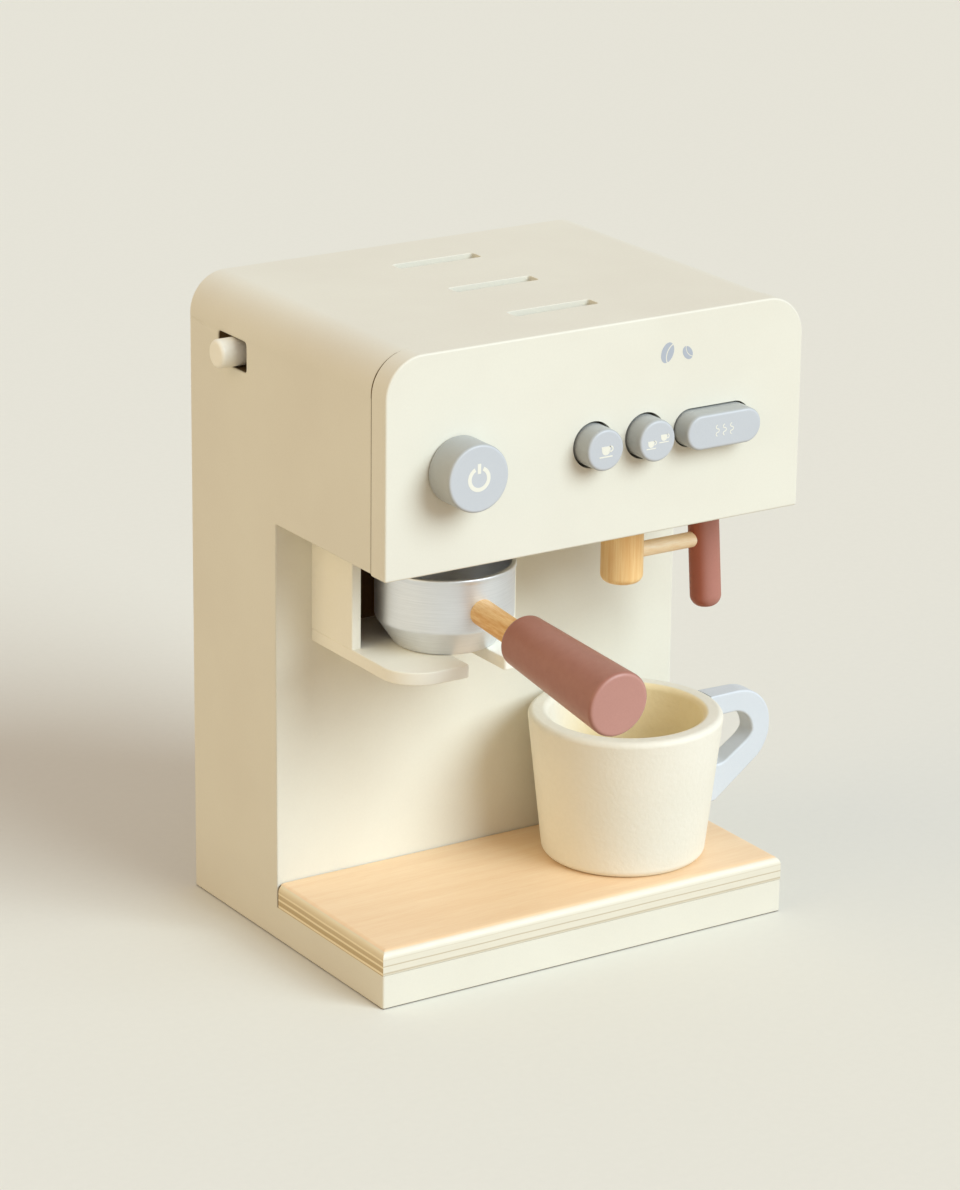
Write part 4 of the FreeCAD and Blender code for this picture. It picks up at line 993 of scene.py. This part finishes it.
# %% Shaft and handle
DROOP = math.radians(5.3)
SHAFT_LEVEL, SHAFT_ROOT = 20.2 * MM, 25.6 * MM
axis_point = Vector((bowl_x, bowl_y, bowl_low.z + SHAFT_LEVEL))
outward = Vector((0.0, -math.cos(DROOP), -math.sin(DROOP)))
lay_over = (math.pi / 2 + DROOP, 0.0, 0.0)
HANDLE_START, HANDLE_LENGTH = 52.6 * MM, 62.3 * MM
SMALL, LARGE, SHAFT = 9.9 * MM, 12.4 * MM, 5.0 * MM

shaft = dowel("shaft_dowel", SHAFT, HANDLE_START + 20.0 * MM - SHAFT_ROOT, segments=64)
stand(shaft, axis_point + outward * SHAFT_ROOT, lay_over)
hand_over(shaft, maple_out, "portafilter", "portafilter_shaft")

grip = turned("handle_grip", [(0.0, SHAFT + 0.05 * MM), (0.0, SMALL), (HANDLE_LENGTH, LARGE)], 128)
round_ring(grip, 0.0, SMALL, 2.0 * MM, 7)
round_ring(grip, HANDLE_LENGTH, LARGE, 1.7 * MM, 7)
stand(grip, axis_point + outward * HANDLE_START, lay_over)
hand_over(grip, terracotta, "portafilter", "portafilter_handle")

# %% [markdown]
# The steam wand hangs on a maple hub. The hub and the wand have rounded lower ends, and the wand
# leans a little, with its foot towards the front. The long wand is turned about the level peg.

# %% Steam wand
hub_low, hub_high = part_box("steam_hub")
hub = dowel("steam_hub_dowel", (hub_high.x - hub_low.x) / 2, hub_high.z - hub_low.z, (3.0 * MM, 8))
stand(hub, (centre("steam_hub").x, centre("steam_hub").y, hub_low.z))
hand_over(hub, maple_up, "steam_arm", "steam_hub")

peg_low, peg_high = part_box("steam_peg")
peg_middle = centre("steam_peg")
level_peg = dowel("steam_level_peg", (peg_high.z - peg_low.z) / 2, peg_high.x - peg_low.x, segments=64)
stand(level_peg, (peg_low.x, peg_middle.y, peg_middle.z), SIDEWAYS)
hand_over(level_peg, maple_across, "steam_arm", "steam_peg")

wand_low, wand_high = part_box("steam_wand")
WAND_LEAN = math.radians(5.3)
WAND_LENGTH, WAND_BELOW = 43.0 * MM, 27.0 * MM
wand = dowel("steam_wand_rod", (wand_high.x - wand_low.x) / 2, WAND_LENGTH, (4.6 * MM, 10), (1.5 * MM, 5), 96)
wand_axis = Vector((0.0, math.sin(WAND_LEAN), math.cos(WAND_LEAN)))
knuckle = Vector((centre("steam_wand").x, peg_middle.y, peg_middle.z))
stand(wand, knuckle - wand_axis * WAND_BELOW, (-WAND_LEAN, 0.0, 0.0))
hand_over(wand, wand_shaded_red, "steam_arm", "steam_wand")

# %% [markdown]
# The cup is turned from a solid block with a thick wall. Its rim is well rounded, inside and out.

# %% Cup
cup_low, cup_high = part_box("cup_body")
cup_x, cup_y = cup_middle.x, cup_middle.y
cup_height = cup_high.z - cup_low.z
RIM, FOOT, THICK, FLOOR = 37.7 * MM, 31.3 * MM, 7.9 * MM, 9.0 * MM
cup = turned("cup_turned", [(0.0, FOOT), (cup_height, RIM), (cup_height, RIM - THICK), (FLOOR, FOOT - THICK)],
             160)
round_ring(cup, 0.0, FOOT, 3.0 * MM, 8)
round_ring(cup, cup_height, RIM, 2.6 * MM, 9)
round_ring(cup, cup_height, RIM - THICK, 2.4 * MM, 9)
round_ring(cup, FLOOR, FOOT - THICK, 3.0 * MM, 6)
stand(cup, (cup_x, cup_y, cup_low.z))
hand_over(cup, cup_cream, "cup", "cup_body", 40.0)

# %% [markdown]
# The cup's handle is sawn from a board: a rectangle that loses its lower corner to a slanting cut,
# with large round corners and an opening of the same form. It is then let into the wall of the cup.

# %% Cup handle
EAR_HALF, EAR_ROOT = 4.5 * MM, 20.0 * MM
EAR_HEEL = 13.0 * MM


def ear_blank(name, half, reach, top, heel, bend, toe):
    """A board with a slanting lower right side, through the bend and the toe (reach, level)."""
    piece = board(name, (cup_x + EAR_ROOT, cup_y - half, cup_low.z + heel),
                  (cup_x + reach, cup_y + half, cup_low.z + top))
    slope = Vector((bend[0] - toe[0], 0.0, bend[1] - toe[1]))
    outside = Vector((slope.z, 0.0, -slope.x)).normalized()
    pick(piece)
    edit_all()
    bpy.ops.mesh.bisect(plane_co=(cup_x + bend[0], cup_y, cup_low.z + bend[1]), plane_no=outside,
                        use_fill=True, clear_outer=True)
    leave_edit()
    return piece


def corner_at(reach, level):
    """A test for the straight edge across the board at one place of its outline."""
    return along(1, lambda point: math.hypot(point.x - cup_x - reach * MM,
                                             point.z - cup_low.z - level * MM) < 2e-5)


ear = ear_blank("cup_ear", EAR_HALF, 65.6 * MM, 56.8 * MM, EAR_HEEL,
                (65.6 * MM, 32.0 * MM), (40.3 * MM, 13.0 * MM))
round_edges(ear, corner_at(65.6, 56.8), 15.0 * MM, 24)
round_edges(ear, corner_at(65.6, 32.0), 7.7 * MM, 16)
gap = ear_blank("ear_gap_cutter", EAR_HALF * 2, 57.2 * MM, 48.4 * MM, 28.2 * MM,
                (57.2 * MM, 37.4 * MM), (43.6 * MM, 28.2 * MM))
round_edges(gap, corner_at(57.2, 48.4), 9.0 * MM, 18)
round_edges(gap, corner_at(57.2, 37.4), 4.2 * MM, 12)
round_edges(gap, corner_at(43.6, 28.2), 2.1 * MM, 8)
cut_out(ear, settle(gap))
SINK = 0.3 * MM
wall_cutter = turned("wall_cutter", [(0.0, FOOT - SINK), (cup_height, RIM - SINK)], 160)
cut_out(ear, stand(wall_cutter, (cup_x, cup_y, cup_low.z)))


def ear_rim(a, b):
    """The edges of the handle's two broad sides, away from the cup's wall."""
    on_side = abs(a.y - b.y) < SAME and abs(abs(a.y - cup_y) - EAR_HALF) < SAME
    def off_wall(point):
        wall_there = FOOT + (RIM - FOOT) * (point.z - cup_low.z) / cup_height
        return math.hypot(point.x - cup_x, point.y - cup_y) > wall_there + 0.1 * MM
    return on_side and (off_wall(a) or off_wall(b))


round_edges(ear, ear_rim, 0.9 * MM, 4)
hand_over(ear, pale_blue, "cup", "cup_handle", 35.0)

# %% [markdown]
# The side peg slides in a short slot. It is a painted dowel with a rounded end.

# %% Side peg
side_peg = dowel("side_peg_dowel", (slider_high.z - slider_low.z) / 2, slider_high.x - slider_low.x,
                 (1.6 * MM, 7), segments=96)
stand(side_peg, (slider_low.x, centre("side_peg").y, centre("side_peg").z), SIDEWAYS)
hand_over(side_peg, peg_cream, "side_slider", "side_peg")

# %% [markdown]
# The signs are printed with thick ink: a power sign, cups, steam and coffee beans. Each is a thin
# flat shape that stands a hair's breadth proud of its face, drawn from discs, rings and bars.
# They are drawn lying flat, and then set upright on the front.

# %% Helpers for printed signs
INK = 0.08 * MM


def keep_faces(piece, wanted):
    """Delete the faces whose middle fails a test."""
    choose(piece, "FACE", lambda face: not wanted(face.calc_center_median()))
    bpy.ops.mesh.delete(type="FACE")
    leave_edit()


def flat_ring(name, middle, outer, inner, wanted=None):
    """A flat ring, or the part of it whose faces pass a test, seen from its own middle."""
    ring = circle(name, outer, 72, "NOTHING")
    bpy.ops.object.mode_set(mode="EDIT")
    bpy.ops.mesh.select_mode(type="EDGE")
    bpy.ops.mesh.select_all(action="SELECT")
    bpy.ops.mesh.extrude_region_move()
    bpy.ops.transform.resize(value=(inner / outer, inner / outer, 1.0), center_override=(0, 0, 0))
    leave_edit()
    if wanted:
        keep_faces(ring, wanted)
    ring.location = (middle[0], middle[1], 0.0)
    return ring


def flat_bar(name, low, high):
    """A flat rectangle between two corners."""
    clear_selection()
    bpy.ops.mesh.primitive_plane_add(size=1.0)
    bar = bpy.context.object
    bar.name = name
    bar.scale = (high[0] - low[0], high[1] - low[1], 1.0)
    bar.location = ((high[0] + low[0]) / 2, (high[1] + low[1]) / 2, 0.0)
    bpy.ops.object.transform_apply(location=False, rotation=False, scale=True)
    return bar


def joined(name, pieces):
    """Several flat shapes as one, with the thickness of the ink."""
    pick(pieces[0])
    for piece in pieces[1:]:
        piece.select_set(True)
    bpy.ops.object.join()
    sign = bpy.context.object
    sign.name = name
    bpy.ops.object.transform_apply(location=True, rotation=True, scale=True)
    apply_modifier(sign, "SOLIDIFY", thickness=INK, offset=0.0)
    return sign


def print_sign(sign, node, x, level, size, body, ink=mark_cream):
    """Set a sign upright on the front face of a node, at a scale."""
    sign.scale = (size, size, 1.0)
    stand(sign, (x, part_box(node)[0].y, level), FORWARD)
    coat(sign, ink)
    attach(sign, body)
    print("printed", sign.name)


# %% Power sign
def open_at_top(point):
    """True outside the opening of the power sign's ring."""
    return abs(math.atan2(point.x, point.y)) > math.radians(26)


power = joined("power_sign", [flat_ring("power_ring", (0, 0), 4.7 * MM, 3.2 * MM, open_at_top),
                              flat_bar("power_bar", (-0.7 * MM, 1.9 * MM), (0.7 * MM, 5.6 * MM))])
print_sign(power, "knob", knob_x, control_level, 1.0, "power_knob")


# %% Cup signs
def cup_sign(name):
    """A small cup with its ear and its saucer."""
    bowl_shape = circle("small_bowl", 1.7 * MM, 48)
    edit_all()
    bpy.ops.mesh.bisect(plane_co=(0, 0, 0), plane_no=(0, 1, 0), clear_outer=True)
    bpy.ops.mesh.select_mode(type="EDGE")
    leave_edit()
    select_edges(bowl_shape, lambda a, b: abs(a.y) < 1e-7 and abs(b.y) < 1e-7)
    bpy.ops.mesh.extrude_region_move(TRANSFORM_OT_translate={"value": (0, 1.4 * MM, 0)})
    bpy.ops.transform.resize(value=(1.12, 1.0, 1.0), center_override=(0, 0, 0))
    leave_edit()
    ear_ring = flat_ring("small_ear", (1.9 * MM, 0.35 * MM), 1.15 * MM, 0.65 * MM,
                         lambda point: point.x > -0.35 * MM)
    saucer = flat_bar("saucer", (-2.7 * MM, -2.55 * MM), (2.7 * MM, -2.05 * MM))
    return joined(name, [bowl_shape, ear_ring, saucer])


for name, node, across, up, size in (("one_cup_sign", "button_single", 0.0, 0.0, 1.05),
                                     ("two_cups_left", "button_double", -2.9 * MM, -0.7 * MM, 0.78),
                                     ("two_cups_right", "button_double", 2.7 * MM, 1.1 * MM, 0.78)):
    print_sign(cup_sign(name), node, centre(node).x + across, control_level + up, size,
               node.split("_")[1] + "_button")


# %% Steam sign and bean sign
def steam_wisp(name, x):
    """One wisp of steam that winds three times, from three half rings."""
    outer, inner, pitch = 0.86 * MM, 0.50 * MM, 1.36 * MM
    return [flat_ring(name, (x, step * pitch), outer, inner, lambda point, side=side: point.x * side > 0)
            for step, side in ((-1, -1), (0, 1), (1, -1))]


wisps = [half for x in (-3.2, 0.0, 3.2) for half in steam_wisp("wisp", x * MM)]
print_sign(joined("steam_sign", wisps), "button_long", centre("button_long").x, control_level, 1.0,
           "long_button")


def bean(name, tilt):
    """A coffee bean: an oval with a curved crease."""
    oval = circle("oval", 1.0, 64)
    oval.scale = (2.7 * MM, 3.9 * MM, 1.0)
    bpy.ops.object.transform_apply(location=False, rotation=False, scale=True)
    solid = joined(name, [oval])
    crease = flat_ring("crease", (5.2 * MM, 0), 5.55 * MM, 5.1 * MM, lambda point: point.x < 0)
    crease = joined("crease_cutter", [crease])
    crease.scale = (1.0, 1.0, 5.0)
    cut_out(solid, settle(crease))
    solid.rotation_euler = (0.0, 0.0, math.radians(tilt))
    pick(solid)
    bpy.ops.object.transform_apply(location=False, rotation=True, scale=False)
    return solid


for name, tilt, x, level, size in (("bean_sign_large", -20.0, 29.5 * MM, 232.8 * MM, 1.0),
                                   ("bean_sign_small", 35.0, 38.5 * MM, 231.6 * MM, 0.72)):
    print_sign(bean(name, tilt), "fascia_board", x, level, size, "machine", mark_grey)

# %% [markdown]
# The toy stands on a wide pale floor, under one very large soft light at the front right.
# A sun lamp with a wide angle acts like that light and is equally strong all over the floor.
# Its shadow is open and warm, because pale walls and warm boards throw light back from the left.

# %% Floor
def seen_directly(tree):
    """1 for what the camera or a mirror-like face sees, and 0 for the light that goes round."""
    path = tree.nodes.new("ShaderNodeLightPath").outputs
    return maths(tree, "MAXIMUM", path["Is Camera Ray"], path["Is Glossy Ray"])


clear_selection()
bpy.ops.mesh.primitive_plane_add(size=24.0, location=(0, 0, 0))
floor = bpy.context.object
floor.name = "pale_floor"
floor_material, tree, shader, coordinates = new_material("pale floor")
tone = noise(tree, coordinates["Object"], 300.0, 2.0)
seen_tone = two_tone(tree, tone, (234, 233, 223), (231, 230, 220))
colour = mix_colour(tree, seen_directly(tree), linear(199, 187, 167), seen_tone)
tree.links.new(colour, shader.inputs["Base Color"])
shader.inputs["Roughness"].default_value = 0.9
shader.inputs["Specular IOR Level"].default_value = 0.1
coat(floor, floor_material)


# %% Lights
def far_light(name, source, strength, angle, colour):
    """A sun lamp that shines from a direction, as wide as a large soft box."""
    data = bpy.data.lights.new(name, "SUN")
    data.energy = strength
    data.angle = math.radians(angle)
    data.color = colour
    lamp = bpy.data.objects.new(name, data)
    bpy.context.scene.collection.objects.link(lamp)
    lamp.rotation_euler = (-Vector(source)).to_track_quat("-Z", "Y").to_euler()
    return lamp


far_light("soft box", (1.05, -2.3, 1.5), 2.88, 40.0, (0.79, 0.92, 1.0))
far_light("warm wall", (-1.0, 0.15, 0.2), 1.11, 70.0, (1.0, 0.77, 0.35))

world = bpy.data.worlds.new("room")
bpy.context.scene.world = world
world.use_nodes = True
tree = world.node_tree
room = tree.nodes["Background"]
room.inputs["Color"].default_value = (1.0, 0.895, 0.86, 1.0)
room.inputs["Strength"].default_value = 0.515
wall = tree.nodes.new("ShaderNodeBackground")
wall.inputs["Color"].default_value = linear(229, 227, 215)
wall.inputs["Strength"].default_value = 1.0
choice = tree.nodes.new("ShaderNodeMixShader")
tree.links.new(seen_directly(tree), choice.inputs["Fac"])
tree.links.new(room.outputs["Background"], choice.inputs[1])
tree.links.new(wall.outputs["Background"], choice.inputs[2])
tree.links.new(choice.outputs["Shader"], tree.nodes["World Output"].inputs["Surface"])

scene = bpy.context.scene
scene.view_settings.view_transform = "Standard"
